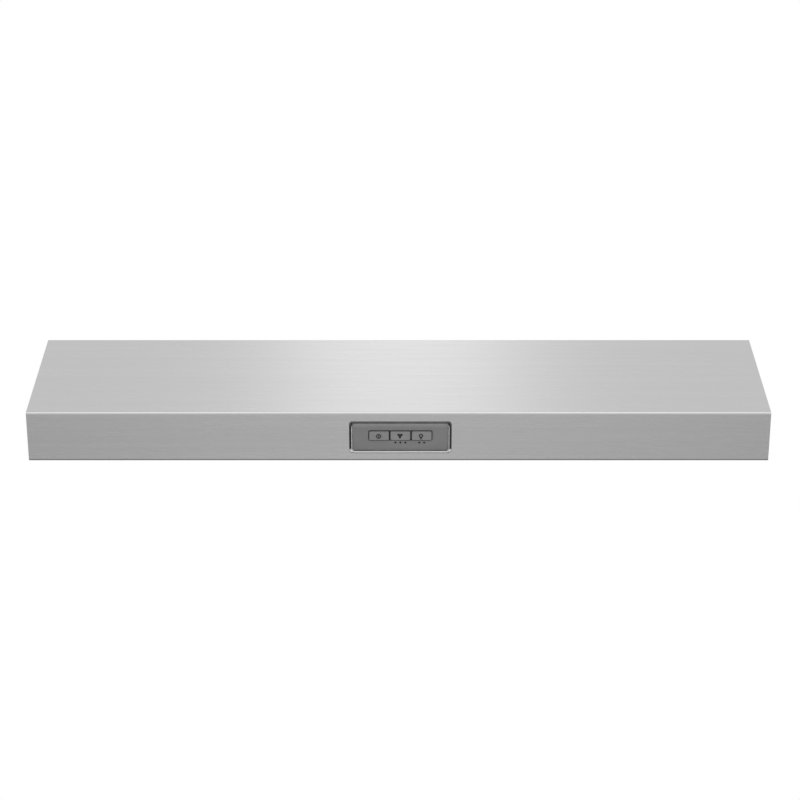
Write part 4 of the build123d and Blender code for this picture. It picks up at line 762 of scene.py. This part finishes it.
def floor():
    """Pale floor under the hood: it fades out at its edges and lets views from below pass."""
    mesh = bpy.data.meshes.new("studio_floor")
    outline = [
        (-FLOOR_REACH, -FLOOR_REACH, FLOOR_LEVEL),
        (FLOOR_REACH, -FLOOR_REACH, FLOOR_LEVEL),
        (FLOOR_REACH, FLOOR_BACK, FLOOR_LEVEL),
        (-FLOOR_REACH, FLOOR_BACK, FLOOR_LEVEL),
    ]
    mesh.from_pydata(outline, [], [(0, 1, 2, 3)])
    material = finish("studio_floor", grey(0.6), NO_METAL, 0.7)
    mesh.materials.append(material)
    feed(material, "Base Color", blend(material, noise(material, even(3.0)), grey(0.59), grey(0.61)))
    distance = work_out(material, "ShaderNodeVectorMath", "LENGTH", here(material)).outputs["Value"]
    faded = rise(material, distance, *FLOOR_FADE, smooth=True)
    below = add(material, "ShaderNodeNewGeometry").outputs["Backfacing"]
    clear = add(material, "ShaderNodeBsdfTransparent").outputs["BSDF"]
    nodes = material.node_tree.nodes
    paint = nodes["Principled BSDF"].outputs["BSDF"]
    shown = mix_shaders(material, larger(material, below, faded), paint, clear)
    fill(material, nodes["Material Output"].inputs["Surface"], shown)
    ground = bpy.data.objects.new("studio_floor", mesh)
    bpy.context.scene.collection.objects.link(ground)


def softbox(name, where, aim, size, power, spread=180.0):
    """Rectangular lamp at a place, turned to face a point, unseen by the camera; spread is in degrees."""
    lamp = bpy.data.lights.new(name, "AREA")
    lamp.shape = "RECTANGLE"
    lamp.size, lamp.size_y = size
    lamp.energy = power
    lamp.spread = math.radians(spread)
    holder = bpy.data.objects.new(name, lamp)
    bpy.context.scene.collection.objects.link(holder)
    away = np.asarray(where, dtype=float) - aim
    away /= np.linalg.norm(away)
    right = np.cross([0.0, 0.0, 1.0], away)
    right /= np.linalg.norm(right)
    up = np.cross(away, right)
    turn = np.eye(4)
    turn[:3, :3] = np.stack([right, up, away], axis=1)
    turn[:3, 3] = where
    holder.matrix_world = turn.T.tolist()
    holder.visible_camera = False


def camera():
    """Level camera straight in front, with the long lens that the photograph's vanishing lines give."""
    lens = bpy.data.cameras.new("front_camera")
    lens.sensor_width = CAMERA_SENSOR
    lens.lens = CAMERA_LENS
    holder = bpy.data.objects.new("front_camera", lens)
    holder.location = CAMERA_PLACE
    holder.rotation_euler = (math.pi / 2, 0.0, 0.0)
    bpy.context.scene.collection.objects.link(holder)
    bpy.context.scene.camera = holder


studio_world()
floor()
softbox("top_softbox", (0.0, 1.5, 2.1), aim=(0.0, -0.2, -0.05), size=(0.5, 1.4), power=1.45)
softbox("front_softbox", (0.0, -1.15, 1.35), aim=LIP_AIM, size=(3.0, 1.4), power=9.0)
softbox("nose_softbox", (0.0, -1.15, 1.36), aim=LIP_AIM, size=(1.0, 1.4), power=1.2)
softbox("floor_softbox", (0.0, -1.1, 1.2), aim=(0.0, -1.09, -0.9), size=(0.4, 0.4), power=1.4, spread=45.0)
camera()
bpy.context.scene.view_settings.view_transform = "Standard"
